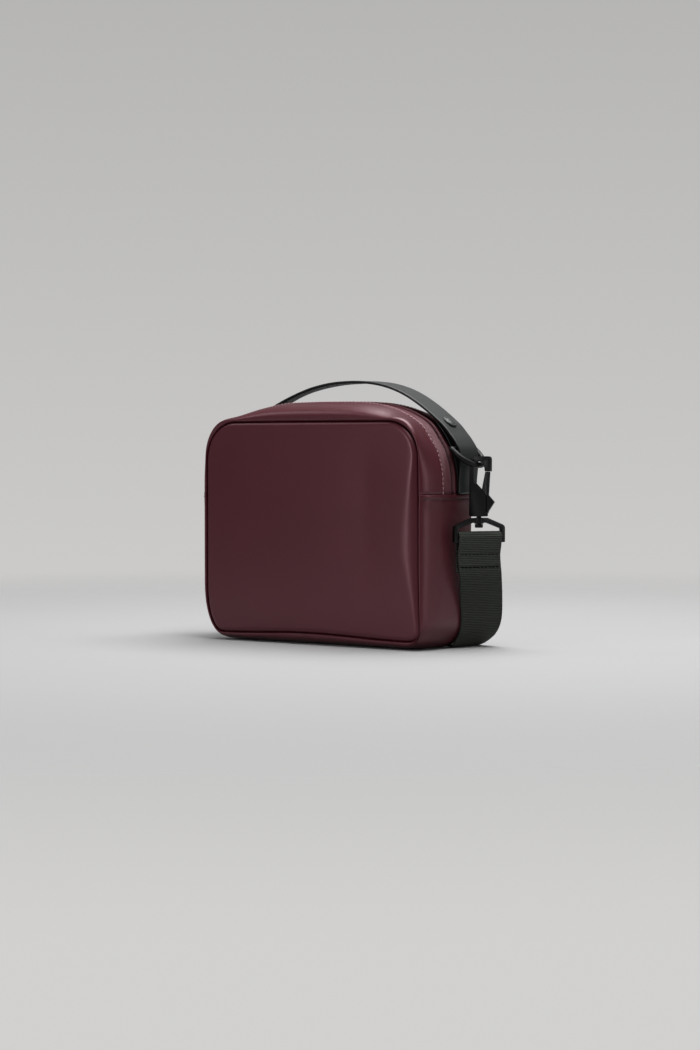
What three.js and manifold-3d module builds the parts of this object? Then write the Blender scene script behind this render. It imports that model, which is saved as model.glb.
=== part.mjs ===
import * as THREE from "three";
import Module from "manifold-3d";

// Box bag. Millimetres, +X to the bag's right, +Y to its back, +Z up, floor at Z 0.

// Bag body. Heights are from the seam's datum; the bottom sags RAISE below it.
const RAISE = 1.3;
const SEAM_HALF_WIDTH = 108;
const SEAM_TOP = 174.5;
const SEAM_BOTTOM = 5.6;
const SEAM_TOP_RADIUS = 30;
const SEAM_BOTTOM_BOW = 2.6;
const SEAM_FLARE = 2.2;
const RIDGE_OUT = 7;
const RIDGE_UP = 15.7;
const RIDGE_HALF_WIDTH = SEAM_HALF_WIDTH + RIDGE_OUT;
const RIDGE_TOP = SEAM_TOP + RIDGE_UP;
const HALF_DEPTH = 35;
const DOME = 3.2;
const WALL = 1.6;
const GAP = 0.3;
const SIDE_PANEL_TOP = 118;
const FOLD_EXTRA = 0.9;
const CORNER_CROWN = 4.4;

// Bottom corners: reach along the bottom and up the side, on the right and on the left.
const SEAM_CORNER = { right: { across: 9, up: 9 }, left: { across: 16, up: 36 } };
const RIDGE_CORNER = { right: { across: 21, up: 24 }, left: { across: 26, up: 44 } };

// The ridge over the right shoulder, as X share of the ridge's half width and Z share of its top.
const SHOULDER_LINE = [
  { across: 1.0, up: 0.62 },
  { across: 1.0, up: 0.668 },
  { across: 0.99, up: 0.731 },
  { across: 0.948, up: 0.801 },
  { across: 0.89, up: 0.851 },
  { across: 0.831, up: 0.897 },
  { across: 0.766, up: 0.926 },
  { across: 0.669, up: 0.954 },
  { across: 0.55, up: 0.977 },
  { across: 0.37, up: 0.993 },
  { across: 0.16, up: 0.999 },
  { across: 0.0, up: 1.0 },
];

// The rear half narrows towards the bottom: how far the rear seam comes forward at each height.
const REAR_TAPER = [
  { z: 0, forward: 13.5 },
  { z: 30, forward: 12.5 },
  { z: 60, forward: 8.5 },
  { z: 92, forward: 5.5 },
  { z: 200, forward: 5 },
];
const TAPER_START = 13;

// Zip
const ZIP_HALF_OPENING = 11.5;
const TAPE_THICKNESS = 0.8;
const COIL_WIDTH = 5;
const COIL_HEIGHT = 1.8;
const SLIDER_SIZE = { depth: 6.2, height: 11, thickness: 3 };
const SLIDER_Z = 126;

// Handle, ring tabs, snaps
const HANDLE_WIDTH = 23.5;
const HANDLE_NEAR_Y = 4;
const HANDLE_THICKNESS = 2;
const TAB_WIDTH = 21.5;
const TAB_THICKNESS = 1;
const SNAP_RADIUS = 5.8;
const SNAP_HEIGHT = 1.5;

// Ring, hook, swivel, bracket
const RING_Y = 15.8;
const RING_ROD_RADIUS = 2.1;
const RING_HALF_WIDTH = 17;
const ROD_SIDES = 7;
const RING_BAR_ANGLE = 23;
const RING_FOOT_OUT = 13;
const RING_FOOT_DOWN = 49.5;
const RING_FOOT = { x: RIDGE_HALF_WIDTH + RING_FOOT_OUT, z: RIDGE_TOP - RING_FOOT_DOWN };
const HOOK_Y = 15;
const HOOK_ANGLE = 15;
const HOOK_THICKNESS = 4.8;
const SLOT_THICKNESS = 3;
const GATE_THICKNESS = 2.4;
const PIVOT = { x: 3.6, z: 109.6 };
const PIVOT_RADIUS = 1.2;
const SWIVEL_OUT = 14;
const SWIVEL_X = RIDGE_HALF_WIDTH + SWIVEL_OUT;

// Height of the ring's bow on the scale that the hook, swivel and bracket are drawn on
const HOOK_SCALE_RING = 140.7;
const HOOK_RISE = RING_FOOT.z - HOOK_SCALE_RING;
const SWIVEL_RADIUS = 1.9;
const SWIVEL_HEAD_RADIUS = 3.2;
const BRACKET_ANGLE = 66;
const BRACKET_HALF_WIDTH = 22.4;
const BRACKET_LEG = 3.2;
const BRACKET_THICKNESS = 3.4;
const BRACKET_BAR_Z = 86;
const BRACKET_BAR_RADIUS = 1.8;

// Strap
const STRAP_WIDTH = 37.6;
const STRAP_THICKNESS = 1.6;

const wasm = await Module();
wasm.setup();

const group = new THREE.Group();
const rad = (degrees) => (degrees * Math.PI) / 180;
const lerp = (a, b, k) => a + (b - a) * k;

// Triangles of a list of equally long closed section rings, with both ends capped.
function loft(rings, closed = false) {
  const count = rings[0].length;
  const points = rings.flat();
  const faces = [];
  const last = closed ? rings.length : rings.length - 1;
  for (let i = 0; i < last; i++) {
    const a = i * count;
    const b = ((i + 1) % rings.length) * count;
    for (let j = 0; j < count; j++) {
      const k = (j + 1) % count;
      faces.push([a + j, b + j, b + k], [a + j, b + k, a + k]);
    }
  }
  if (!closed) {
    faces.push(...capOf(rings[0], 0, false));
    faces.push(...capOf(rings[rings.length - 1], (rings.length - 1) * count, true));
  }
  return solid(points, faces);
}

// A flat section ring is filled in its own plane.
function capOf(ring, offset, reversed) {
  const centre = new THREE.Vector3();
  ring.forEach((p) => centre.add(p));
  centre.divideScalar(ring.length);
  const normal = new THREE.Vector3();
  ring.forEach((p, i) => {
    const q = ring[(i + 1) % ring.length];
    normal.add(new THREE.Vector3().crossVectors(p.clone().sub(centre), q.clone().sub(centre)));
  });
  normal.normalize();
  const seed = Math.abs(normal.z) < 0.9 ? new THREE.Vector3(0, 0, 1) : new THREE.Vector3(1, 0, 0);
  const u = new THREE.Vector3().crossVectors(seed, normal).normalize();
  const v = new THREE.Vector3().crossVectors(normal, u);
  const flat = ring.map((p) => new THREE.Vector2(p.dot(u), p.dot(v)));
  return THREE.ShapeUtils.triangulateShape(flat, []).map((t) => {
    const [a, b, c] = t.map((i) => i + offset);
    return reversed ? [a, c, b] : [a, b, c];
  });
}

// Indexed geometry, turned to face outwards by the sign of its volume.
function solid(points, faces) {
  let volume = 0;
  for (const [a, b, c] of faces) {
    volume += points[a].dot(new THREE.Vector3().crossVectors(points[b], points[c]));
  }
  const index = faces.flatMap(([a, b, c]) => (volume < 0 ? [a, c, b] : [a, b, c]));
  const geometry = new THREE.BufferGeometry().setFromPoints(points);
  geometry.setIndex(index);
  geometry.computeVertexNormals();
  return geometry;
}

function toManifold(geometry) {
  const source = geometry.index ? geometry.toNonIndexed() : geometry.clone();
  const bare = new THREE.BufferGeometry().setAttribute("position", source.getAttribute("position"));
  const lookup = new Map();
  const verts = [];
  const tris = [];
  const position = bare.getAttribute("position");
  for (let i = 0; i < position.count; i++) {
    const p = [position.getX(i), position.getY(i), position.getZ(i)];
    const key = p.map((v) => Math.round(v * 2000)).join(",");
    if (!lookup.has(key)) {
      lookup.set(key, verts.length / 3);
      verts.push(...p);
    }
    tris.push(lookup.get(key));
  }
  const kept = [];
  for (let i = 0; i < tris.length; i += 3) {
    const [a, b, c] = tris.slice(i, i + 3);
    if (a !== b && b !== c && a !== c) kept.push(a, b, c);
  }
  return new wasm.Manifold(
    new wasm.Mesh({
      numProp: 3,
      vertProperties: new Float32Array(verts),
      triVerts: new Uint32Array(kept),
    }),
  );
}

function fromManifold(body) {
  const mesh = body.getMesh();
  const geometry = new THREE.BufferGeometry();
  geometry.setAttribute("position", new THREE.BufferAttribute(new Float32Array(mesh.vertProperties), 3));
  geometry.setIndex(new THREE.BufferAttribute(new Uint32Array(mesh.triVerts), 1));
  geometry.computeVertexNormals();
  return geometry;
}

const combine = (first, others, how) =>
  fromManifold(others.reduce((body, g) => body[how](toManifold(g)), toManifold(first)));
const cut = (first, ...others) => combine(first, others, "subtract");
const join = (first, ...others) => combine(first, others, "add");

function mirrored(geometry) {
  const copy = geometry.clone();
  copy.scale(-1, 1, 1);
  if (!copy.index) {
    const indices = [...Array(copy.getAttribute("position").count).keys()];
    copy.setIndex(indices);
  }
  const index = copy.index;
  for (let i = 0; i < index.count; i += 3) {
    const keep = index.getX(i + 1);
    index.setX(i + 1, index.getX(i + 2));
    index.setX(i + 2, keep);
  }
  copy.computeVertexNormals();
  return copy;
}

function add(name, geometry, colour, roughness, metalness = 0) {
  const material = new THREE.MeshStandardMaterial({ color: colour, roughness, metalness, flatShading: true });
  geometry.translate(0, 0, RAISE);
  const mesh = new THREE.Mesh(geometry, material);
  mesh.name = name;
  group.add(mesh);
}

function addPair(name, geometry, colour, roughness, metalness = 0) {
  const left = mirrored(geometry);
  add("right_" + name, geometry, colour, roughness, metalness);
  add("left_" + name, left, colour, roughness, metalness);
}

// Colours
const FABRIC = 0x46282e;
const TAPE = 0x3c2227;
const STRAP_BLACK = 0x2b2f2e;
const METAL_BLACK = 0x141516;
const WEBBING = 0x26292a;

// Steps along half of a rounded outline, from the bottom middle to the top middle.
const STEPS = { bottom: 5, bottomCorner: 6, lowerSide: 3, upperSide: 2, topCorner: 8, top: 5 };

const CORNER_START = STEPS.bottom + STEPS.bottomCorner;
const SIDE_TOP_INDEX = CORNER_START + STEPS.lowerSide;
const LAST = SIDE_TOP_INDEX + STEPS.upperSide + STEPS.topCorner + STEPS.top;

// Lower part of a half outline: bottom, bottom corner and side up to the side panel's top.
function lowerOutline(halfWidth, bottom, corner, bow, flare) {
  const list = [];
  const flat = halfWidth - corner.across;
  const widen = (z) => flare * Math.max(0, 1 - z / 75) ** 1.5;
  const bowAt = (x) => bow * Math.cos((Math.min(1, Math.abs(x) / flat) * Math.PI) / 2) ** 2;
  for (let i = 0; i < STEPS.bottom; i++) {
    const x = (flat * i) / STEPS.bottom;
    list.push([x, bottom + bowAt(x)]);
  }
  for (let i = 0; i < STEPS.bottomCorner; i++) {
    const t = (i / STEPS.bottomCorner) * (Math.PI / 2);
    const z = bottom + corner.up * (1 - Math.cos(t));
    list.push([flat + corner.across * Math.sin(t) + widen(z) * Math.sin(t), z]);
  }
  const low = bottom + corner.up;
  for (let i = 0; i < STEPS.lowerSide; i++) {
    const z = lerp(low, SIDE_PANEL_TOP, i / STEPS.lowerSide);
    list.push([halfWidth + widen(z), z]);
  }
  return list;
}

// Half of the seam outline on one side, drawn in by an inset.
function seamHalf(inset, side) {
  const name = side > 0 ? "right" : "left";
  const halfWidth = SEAM_HALF_WIDTH - inset;
  const top = SEAM_TOP - inset;
  const topRadius = Math.max(SEAM_TOP_RADIUS - inset, 8);
  const corner = {
    across: Math.max(SEAM_CORNER[name].across - inset, 3),
    up: Math.max(SEAM_CORNER[name].up - inset, 3),
  };
  const flare = side > 0 ? SEAM_FLARE : 0;
  const list = lowerOutline(halfWidth, SEAM_BOTTOM + inset, corner, SEAM_BOTTOM_BOW, flare);
  const high = top - topRadius;
  for (let i = 0; i < STEPS.upperSide; i++) {
    list.push([halfWidth, lerp(SIDE_PANEL_TOP, high, i / STEPS.upperSide)]);
  }
  for (let i = 0; i < STEPS.topCorner; i++) {
    const t = (i / STEPS.topCorner) * (Math.PI / 2);
    list.push([halfWidth - topRadius * (1 - Math.cos(t)), high + topRadius * Math.sin(t)]);
  }
  for (let i = 0; i <= STEPS.top; i++) {
    list.push([lerp(halfWidth - topRadius, 0, i / STEPS.top), top]);
  }
  return list;
}

// Half of the ridge outline on one side, with a station for each one of the seam.
function ridgeHalf(side) {
  const name = side > 0 ? "right" : "left";
  const list = lowerOutline(RIDGE_HALF_WIDTH, -RAISE, RIDGE_CORNER[name], 0, -0.8);
  const line = SHOULDER_LINE.map((r) => new THREE.Vector3(r.across * RIDGE_HALF_WIDTH, 0, r.up * RIDGE_TOP));
  line[0].z = SIDE_PANEL_TOP;
  const curve = new THREE.CatmullRomCurve3(line, false, "centripetal");
  const seam = seamHalf(0, side).slice(SIDE_TOP_INDEX);
  const lengths = [0];
  for (let i = 1; i < seam.length; i++) {
    lengths.push(lengths[i - 1] + Math.hypot(seam[i][0] - seam[i - 1][0], seam[i][1] - seam[i - 1][1]));
  }
  for (const length of lengths) {
    const p = curve.getPointAt(length / lengths[lengths.length - 1]);
    list.push([p.x, p.z]);
  }
  return list;
}

const SEAM = { 1: seamHalf(0, 1), "-1": seamHalf(0, -1) };
const RIDGE = { 1: ridgeHalf(1), "-1": ridgeHalf(-1) };

// Stations from the right to the left, over the top or under the bottom.
function stationsAcross(first, last, viaTop) {
  const half = [];
  for (let i = first; i <= last; i++) half.push({ index: i, side: 1 });
  const other = half.map((s) => ({ index: s.index, side: -1 }));
  return viaTop
    ? [...half, ...other.reverse().slice(1)]
    : [...half.reverse(), ...other.slice(1)];
}

function stationFrame({ index, side }) {
  const seam = SEAM[side];
  const [ax, az] = seam[index];
  const [bx, bz] = RIDGE[side][index];
  const [px, pz] = seam[Math.max(0, index - 1)];
  const [nx, nz] = seam[Math.min(LAST, index + 1)];
  const middle = index === 0 || index === LAST;
  const along = middle ? new THREE.Vector2(index === 0 ? 1 : -1, 0) : new THREE.Vector2(nx - px, nz - pz).normalize();
  const cornerShare = (index - SIDE_TOP_INDEX - STEPS.upperSide + 1) / (STEPS.topCorner + 2);
  return {
    origin: new THREE.Vector3(ax * side, 0, az),
    toRidge: new THREE.Vector3((bx - ax) * side, 0, bz - az),
    out: new THREE.Vector3(along.y * side, 0, -along.x),
    crown: cornerShare > 0 && cornerShare < 1 ? CORNER_CROWN * Math.sin(Math.PI * cornerShare) ** 2 : 0,
  };
}

function taperAt(z) {
  const i = REAR_TAPER.findIndex((r) => r.z > z);
  const [low, high] = [REAR_TAPER[Math.max(0, i - 1)], REAR_TAPER[Math.max(0, i)]];
  return low === high ? low.forward : lerp(low.forward, high.forward, (z - low.z) / (high.z - low.z));
}

// The rear half is drawn forward, most at the rear seam and none in front of TAPER_START.
function tapered(p) {
  if (p.y <= TAPER_START) return p;
  const share = (p.y - TAPER_START) / (HALF_DEPTH - TAPER_START);
  p.y -= taperAt(p.z) * share;
  return p;
}

// A point at a share of the way from the seam to the ridge, moved out by an offset.
function at(frame, share, offset, y) {
  const p = frame.origin.clone().addScaledVector(frame.toRidge, share).addScaledVector(frame.out, offset);
  return tapered(p.setY(y));
}

// Section of a gusset from the seam to the ridge; crown is its share of the bulge at the top corners.
const GUSSET_SECTION = [
  { share: 0.0, depth: 0.955, crown: 0.02 },
  { share: 0.06, depth: 1.0, crown: 0.22 },
  { share: 0.18, depth: 1.024, crown: 0.55 },
  { share: 0.36, depth: 1.015, crown: 0.88 },
  { share: 0.56, depth: 0.955, crown: 1.0 },
  { share: 0.76, depth: 0.83, crown: 0.92 },
  { share: 0.91, depth: 0.64, crown: 0.6 },
  { share: 0.985, depth: 0.46, crown: 0.22 },
];
const INNER_DEPTHS = [0.9, 0.8, 0.62, 0.46];
const SEAM_EDGE_DEPTH = 0.912;

function sectionAt(depth) {
  const rows = GUSSET_SECTION.slice(2);
  if (depth >= rows[0].depth) return rows[0];
  for (let i = 1; i < rows.length; i++) {
    if (depth >= rows[i].depth) {
      const k = (rows[i - 1].depth - depth) / (rows[i - 1].depth - rows[i].depth);
      return {
        share: lerp(rows[i - 1].share, rows[i].share, k),
        crown: lerp(rows[i - 1].crown, rows[i].crown, k),
      };
    }
  }
  return { share: 1, crown: 0 };
}

// Outer and inner rows of half a gusset section, from the seam to the ridge. Only the front one is crowned.
function gussetRows(frame, side, lastY, extra = 0) {
  const seam = GAP / 2;
  const crown = side < 0 ? frame.crown : 0;
  const outer = [at(frame, 0, seam, side * HALF_DEPTH * SEAM_EDGE_DEPTH)];
  for (const row of GUSSET_SECTION) {
    const offset = row.crown * crown + row.share * extra + seam * (1 - row.share);
    outer.push(at(frame, row.share, offset, side * row.depth * HALF_DEPTH));
  }
  outer.push(at(frame, 1, extra, side * lastY));
  const inner = INNER_DEPTHS.map((depth) => {
    const row = sectionAt(depth);
    const y = depth === 0.9 ? SEAM_EDGE_DEPTH - 0.03 : depth;
    return at(frame, row.share, row.crown * crown - WALL, side * y * HALF_DEPTH);
  });
  inner.push(at(frame, 1, -WALL, side * lastY));
  return { outer, inner };
}

// Front and rear gussets
function upperGusset(side) {
  const stations = stationsAcross(SIDE_TOP_INDEX, LAST, true);
  const rings = stations.map((station, i) => {
    const frame = stationFrame(station);
    if (i === 0 || i === stations.length - 1) frame.origin.z += GAP;
    const { outer, inner } = gussetRows(frame, side, ZIP_HALF_OPENING);
    return [...outer, ...inner.reverse()];
  });
  return loft(rings);
}

add("front_gusset", upperGusset(-1), FABRIC, 0.38);
add("rear_gusset", upperGusset(1), FABRIC, 0.38);

// Lower gusset: both side panels and the bottom, thicker along its folded top edges.
function lowerGusset() {
  const stations = stationsAcross(0, SIDE_TOP_INDEX, false);
  const rows = [];
  stations.forEach((station, i) => {
    const frame = stationFrame(station);
    const end = i === 0 || i === stations.length - 1;
    if (end) {
      rows.push({ frame, extra: FOLD_EXTRA });
      const below = stationFrame(station);
      below.origin.z -= 9;
      if (i === 0) rows.push({ frame: below, extra: FOLD_EXTRA });
      else rows.splice(rows.length - 1, 0, { frame: below, extra: FOLD_EXTRA });
    } else {
      rows.push({ frame, extra: 0 });
    }
  });
  const rings = rows.map(({ frame, extra }) => {
    const front = gussetRows(frame, -1, 8, extra);
    const rear = gussetRows(frame, 1, 8, extra);
    const outer = [...front.outer, ...rear.outer.reverse()];
    const inner = [...rear.inner, ...front.inner.reverse()];
    return [...outer, ...inner];
  });
  return loft(rings);
}
add("lower_gusset", lowerGusset(), FABRIC, 0.38);

// Zip tapes: each runs under its gusset's edge and rises beside it to the middle.
function zipTape(side) {
  const stations = stationsAcross(SIDE_TOP_INDEX, LAST, true);
  const rows = [
    { drop: WALL + GAP + 0.4, y: ZIP_HALF_OPENING + 4 },
    { drop: WALL + GAP, y: ZIP_HALF_OPENING - 0.35 },
    { drop: 0.7, y: ZIP_HALF_OPENING - 1.5 },
    { drop: 0.5, y: GAP / 2 },
  ];
  const rings = stations.map((station, i) => {
    const frame = stationFrame(station);
    if (i === 0 || i === stations.length - 1) frame.origin.z += GAP;
    const outer = rows.map((r) => at(frame, 1, -r.drop, side * r.y));
    const inner = rows.map((r) => at(frame, 1, -r.drop - TAPE_THICKNESS, side * r.y));
    return [...outer, ...inner.reverse()];
  });
  return loft(rings);
}
add("front_zip_tape", zipTape(-1), TAPE, 0.6);
add("rear_zip_tape", zipTape(1), TAPE, 0.6);

function zipCoil() {
  const stations = stationsAcross(SIDE_TOP_INDEX, LAST, true);
  const top = 0.5 + TAPE_THICKNESS + GAP;
  const section = [
    { drop: top, y: COIL_WIDTH / 2 - 0.6 },
    { drop: top + 0.6, y: COIL_WIDTH / 2 },
    { drop: top + COIL_HEIGHT, y: COIL_WIDTH / 2 },
    { drop: top + COIL_HEIGHT, y: -COIL_WIDTH / 2 },
    { drop: top + 0.6, y: -COIL_WIDTH / 2 },
    { drop: top, y: -COIL_WIDTH / 2 + 0.6 },
  ];
  const rings = stations.map((station, i) => {
    const frame = stationFrame(station);
    if (i === 0 || i === stations.length - 1) frame.origin.z += GAP;
    return section.map((r) => at(frame, 1, -r.drop, r.y));
  });
  return loft(rings);
}
add("zip_coil", zipCoil(), 0x2a1c20, 0.5);

// Zip slider: one plain block with chamfered edges, outside the tapes at the left end.
function zipSlider() {
  const { depth, height, thickness } = SLIDER_SIZE;
  const inner = RIDGE_HALF_WIDTH - 0.5 + GAP;
  const section = (half, z, inset) => [
    new THREE.Vector3(-inner, -half, z),
    new THREE.Vector3(-inner, half, z),
    new THREE.Vector3(-inner - thickness + 1 + inset, half, z),
    new THREE.Vector3(-inner - thickness + inset, half - 1, z),
    new THREE.Vector3(-inner - thickness + inset, 1 - half, z),
    new THREE.Vector3(-inner - thickness + 1 + inset, -half, z),
  ];
  const low = SLIDER_Z - height / 2;
  const rows = [
    { z: low, half: depth / 2 - 0.8, inset: 0.8 },
    { z: low + 1, half: depth / 2, inset: 0 },
    { z: low + height - 1, half: depth / 2, inset: 0 },
    { z: low + height, half: depth / 2 - 0.8, inset: 0.8 },
  ];
  return loft(rows.map((r) => section(r.half, r.z, r.inset)));
}
add("zip_slider", zipSlider(), METAL_BLACK, 0.45, 0.6);

// Panels: rings of shrinking seam outlines, outside and inside, joined at the rim.
const PANEL_RINGS = [
  { inset: 0.15, depth: 0.955 },
  { inset: 0.8, depth: 1.0 },
  { inset: 2.6, depth: 1.026 },
  { inset: 6.0, depth: 1.036 },
  { inset: 12, depth: 1.046 },
];
const PANEL_CORE = [
  { share: 0.7, dome: 0.56 },
  { share: 0.35, dome: 0.9 },
];

function panel(side) {
  const centreZ = (SEAM_TOP + SEAM_BOTTOM) / 2;
  const whole = (inset) => {
    const left = seamHalf(inset, -1).slice(1, -1).reverse();
    return [...seamHalf(inset, 1), ...left.map(([x, z]) => [-x, z])];
  };
  const lastInset = PANEL_RINGS[PANEL_RINGS.length - 1].inset;
  const lastDepth = PANEL_RINGS[PANEL_RINGS.length - 1].depth * HALF_DEPTH;
  const ringAt = (outline, y) => outline.map(([x, z]) => tapered(new THREE.Vector3(x, side * y, z)));
  const scaled = (outline, share) => outline.map(([x, z]) => [x * share, lerp(centreZ, z, share)]);
  const outer = PANEL_RINGS.map((r) => ringAt(whole(r.inset), r.depth * HALF_DEPTH));
  for (const r of PANEL_CORE) {
    outer.push(ringAt(scaled(whole(lastInset), r.share), lastDepth + DOME * r.dome));
  }
  const core = PANEL_CORE[0];
  const inner = [
    ringAt(whole(GAP / 2), SEAM_EDGE_DEPTH * HALF_DEPTH),
    ringAt(whole(WALL), SEAM_EDGE_DEPTH * HALF_DEPTH),
    ringAt(whole(WALL + 2.2), 1.026 * HALF_DEPTH - WALL),
    ringAt(scaled(whole(lastInset), core.share), lastDepth + DOME * core.dome - WALL),
  ];
  const rings = [...inner.reverse(), ...outer];
  const count = rings[0].length;
  const points = rings.flat();
  const faces = [];
  for (let i = 0; i < rings.length - 1; i++) {
    for (let j = 0; j < count; j++) {
      const k = (j + 1) % count;
      const [a, b] = [i * count, (i + 1) * count];
      faces.push([a + j, b + j, b + k], [a + j, b + k, a + k]);
    }
  }
  const insideTip = points.length;
  points.push(tapered(new THREE.Vector3(0, side * (lastDepth + DOME - WALL), centreZ)));
  const outsideTip = points.length;
  points.push(tapered(new THREE.Vector3(0, side * (lastDepth + DOME), centreZ)));
  const lastRing = (rings.length - 1) * count;
  for (let j = 0; j < count; j++) {
    const k = (j + 1) % count;
    faces.push([insideTip, j, k], [outsideTip, lastRing + k, lastRing + j]);
  }
  return solid(points, faces);
}
add("front_panel", panel(-1), FABRIC, 0.34);
add("back_panel", panel(1), FABRIC, 0.34);

// A strap of even thickness along rows of x, z and rise, which lifts its rear edge over its front one.
function flatStrap(path, thickness, width, nearY) {
  const rings = path.map((p, i) => {
    const before = path[Math.max(0, i - 1)];
    const after = path[Math.min(path.length - 1, i + 1)];
    const tangent = new THREE.Vector3(after.x - before.x, 0, after.z - before.z).normalize();
    const across = new THREE.Vector3(0, Math.sqrt(width * width - p.rise * p.rise), p.rise).multiplyScalar(0.5);
    const normal = new THREE.Vector3().crossVectors(across, tangent).normalize().multiplyScalar(thickness / 2);
    const centre = new THREE.Vector3(p.x, nearY + width / 2, p.z);
    return [
      centre.clone().sub(across).add(normal),
      centre.clone().add(across).add(normal),
      centre.clone().add(across).sub(normal),
      centre.clone().sub(across).sub(normal),
    ];
  });
  return loft(rings);
}

function smoothPath(table, count) {
  const points = table.map((r) => new THREE.Vector3(r.x, r.rise * 10, r.z));
  const curve = new THREE.CatmullRomCurve3(points, false, "centripetal");
  return curve.getSpacedPoints(count).map((p) => ({ x: p.x, z: p.z, rise: p.y / 10 }));
}

// The ring tab, the ring's bar and the handle lie over the bag's shoulder in turn, from the inside out.
const SHOULDER_RADIUS = 63;
const SHOULDER_DOWN = 63.2;
const SHOULDER = { x: RIDGE_HALF_WIDTH - SHOULDER_RADIUS, z: RIDGE_TOP - SHOULDER_DOWN };
const TAB_RADIUS = SHOULDER_RADIUS + 0.25 + TAB_THICKNESS / 2;
const BAR_RADIUS = TAB_RADIUS + TAB_THICKNESS / 2 + GAP + RING_ROD_RADIUS;
const strapX = SHOULDER.x + TAB_RADIUS + TAB_THICKNESS / 2 + GAP + HANDLE_THICKNESS / 2 + 0.1;
const overShoulder = (radius, degrees) => ({
  x: SHOULDER.x + radius * Math.cos(rad(degrees)),
  z: SHOULDER.z + radius * Math.sin(rad(degrees)),
  rise: 0,
});
const RING_BAR = overShoulder(BAR_RADIUS, RING_BAR_ANGLE);
const END_Z = SIDE_PANEL_TOP + GAP + 0.05;
const HANDLE_UPRIGHT = 9.65;

// Handle: middle line from the left side panel to the right one. Rows lie past the shoulder's centre, or at a
// share of the way to it, and up from it.
const HANDLE_ROWS = [
  { side: -1, past: 66.3, up: 11, rise: 0 },
  { side: -1, past: 66.7, up: 19, rise: 0 },
  { side: -1, past: 65.7, up: 25.2, rise: 0 },
  { side: -1, past: 61.2, up: 32.2, rise: 0 },
  { side: -1, past: 55.6, up: 38.4, rise: 0.2 },
  { side: -1, past: 47.6, up: 45.8, rise: 0.8 },
  { side: -1, past: 37.6, up: 52.6, rise: 2.2 },
  { side: -1, past: 28.2, up: 57.9, rise: 3.6 },
  { side: -1, past: 18.4, up: 62.6, rise: 4.4 },
  { side: -1, past: 8.4, up: 66.9, rise: 4.4 },
  { share: -0.9538, up: 70.7, rise: 3.8 },
  { share: -0.7635, up: 73.5, rise: 2.8 },
  { share: -0.5731, up: 75.8, rise: 1.8 },
  { share: -0.2885, up: 78.1, rise: 0.8 },
  { share: 0, up: 79.2, rise: 0.2 },
  { share: 0.3846, up: 79.2, rise: 0 },
  { share: 0.7885, up: 76.6, rise: 0 },
  { side: 1, past: 9, up: 70.4, rise: 0 },
  { side: 1, past: 28.5, up: 60, rise: 0 },
  { side: 1, past: 47.8, up: 46.3, rise: 0 },
  { side: 1, past: 56.1, up: 38.2, rise: 0 },
  { side: 1, past: 61.6, up: 32, rise: 0 },
  { side: 1, past: 65.9, up: 25.4, rise: 0 },
  { side: 1, past: 66.7, up: 19, rise: 0 },
  { side: 1, past: 66.3, up: 11, rise: 0 },
];
const HANDLE_PATH = [
  { x: -strapX, z: END_Z, rise: 0 },
  { x: -strapX - 0.05, z: END_Z + HANDLE_UPRIGHT, rise: 0 },
  ...HANDLE_ROWS.map(({ side = 0, past = 0, share = side, up, rise }) => ({
    x: SHOULDER.x * share + side * past,
    z: SHOULDER.z + up,
    rise,
  })),
  { x: strapX + 0.05, z: END_Z + HANDLE_UPRIGHT, rise: 0 },
  { x: strapX, z: END_Z, rise: 0 },
];
const handleLine = smoothPath(HANDLE_PATH, 60);
add("handle", flatStrap(handleLine, HANDLE_THICKNESS, HANDLE_WIDTH, HANDLE_NEAR_Y), STRAP_BLACK, 0.42);

// Ring tabs, from the side panel's edge up behind the ring's bar to the snap.
const TAB_PATH = [{ x: SHOULDER.x + TAB_RADIUS, z: END_Z, rise: 0 }];
for (let degrees = 0; degrees <= 46; degrees += 7.6) TAB_PATH.push(overShoulder(TAB_RADIUS, degrees));
const tabNearY = HANDLE_NEAR_Y + (HANDLE_WIDTH - TAB_WIDTH) / 2;
addPair("ring_tab", flatStrap(TAB_PATH, TAB_THICKNESS, TAB_WIDTH, tabNearY), STRAP_BLACK, 0.45);

// D-rings: a rod along a straight bar and a rounded bow, in a plane that leans out.
function dRing() {
  const depth = Math.hypot(RING_FOOT.x - RING_BAR.x, RING_FOOT.z - RING_BAR.z);
  const dirX = (RING_FOOT.x - RING_BAR.x) / depth;
  const dirZ = (RING_FOOT.z - RING_BAR.z) / depth;
  const power = 2.4;
  const outline = [];
  const bowSteps = 20;
  for (let i = 0; i <= bowSteps; i++) {
    const t = Math.PI * (1 - i / bowSteps);
    const c = Math.cos(t);
    const s = Math.sin(t);
    const y = Math.sign(c) * Math.abs(c) ** (2 / power) * (RING_HALF_WIDTH - RING_ROD_RADIUS);
    outline.push([y, Math.abs(s) ** (2 / power) * depth]);
  }
  const barSteps = 4;
  const [barEnd] = outline[outline.length - 1];
  for (let i = 1; i < barSteps; i++) outline.push([lerp(barEnd, -barEnd, i / barSteps), 0]);
  const centres = outline.map(([y, d]) => new THREE.Vector3(RING_BAR.x + dirX * d, RING_Y + y, RING_BAR.z + dirZ * d));
  const planeNormal = new THREE.Vector3(-dirZ, 0, dirX);
  const rings = centres.map((centre, i) => {
    const before = centres[(i + centres.length - 1) % centres.length].clone().sub(centre).normalize();
    const after = centres[(i + 1) % centres.length].clone().sub(centre).normalize();
    const tangent = after.sub(before).normalize();
    const side = new THREE.Vector3().crossVectors(tangent, planeNormal).normalize();
    const ring = [];
    for (let k = 0; k < ROD_SIDES; k++) {
      const a = (k / ROD_SIDES) * Math.PI * 2;
      ring.push(
        centre
          .clone()
          .addScaledVector(side, Math.cos(a) * RING_ROD_RADIUS)
          .addScaledVector(planeNormal, Math.sin(a) * RING_ROD_RADIUS),
      );
    }
    return ring;
  });
  return loft(rings, true);
}
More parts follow.
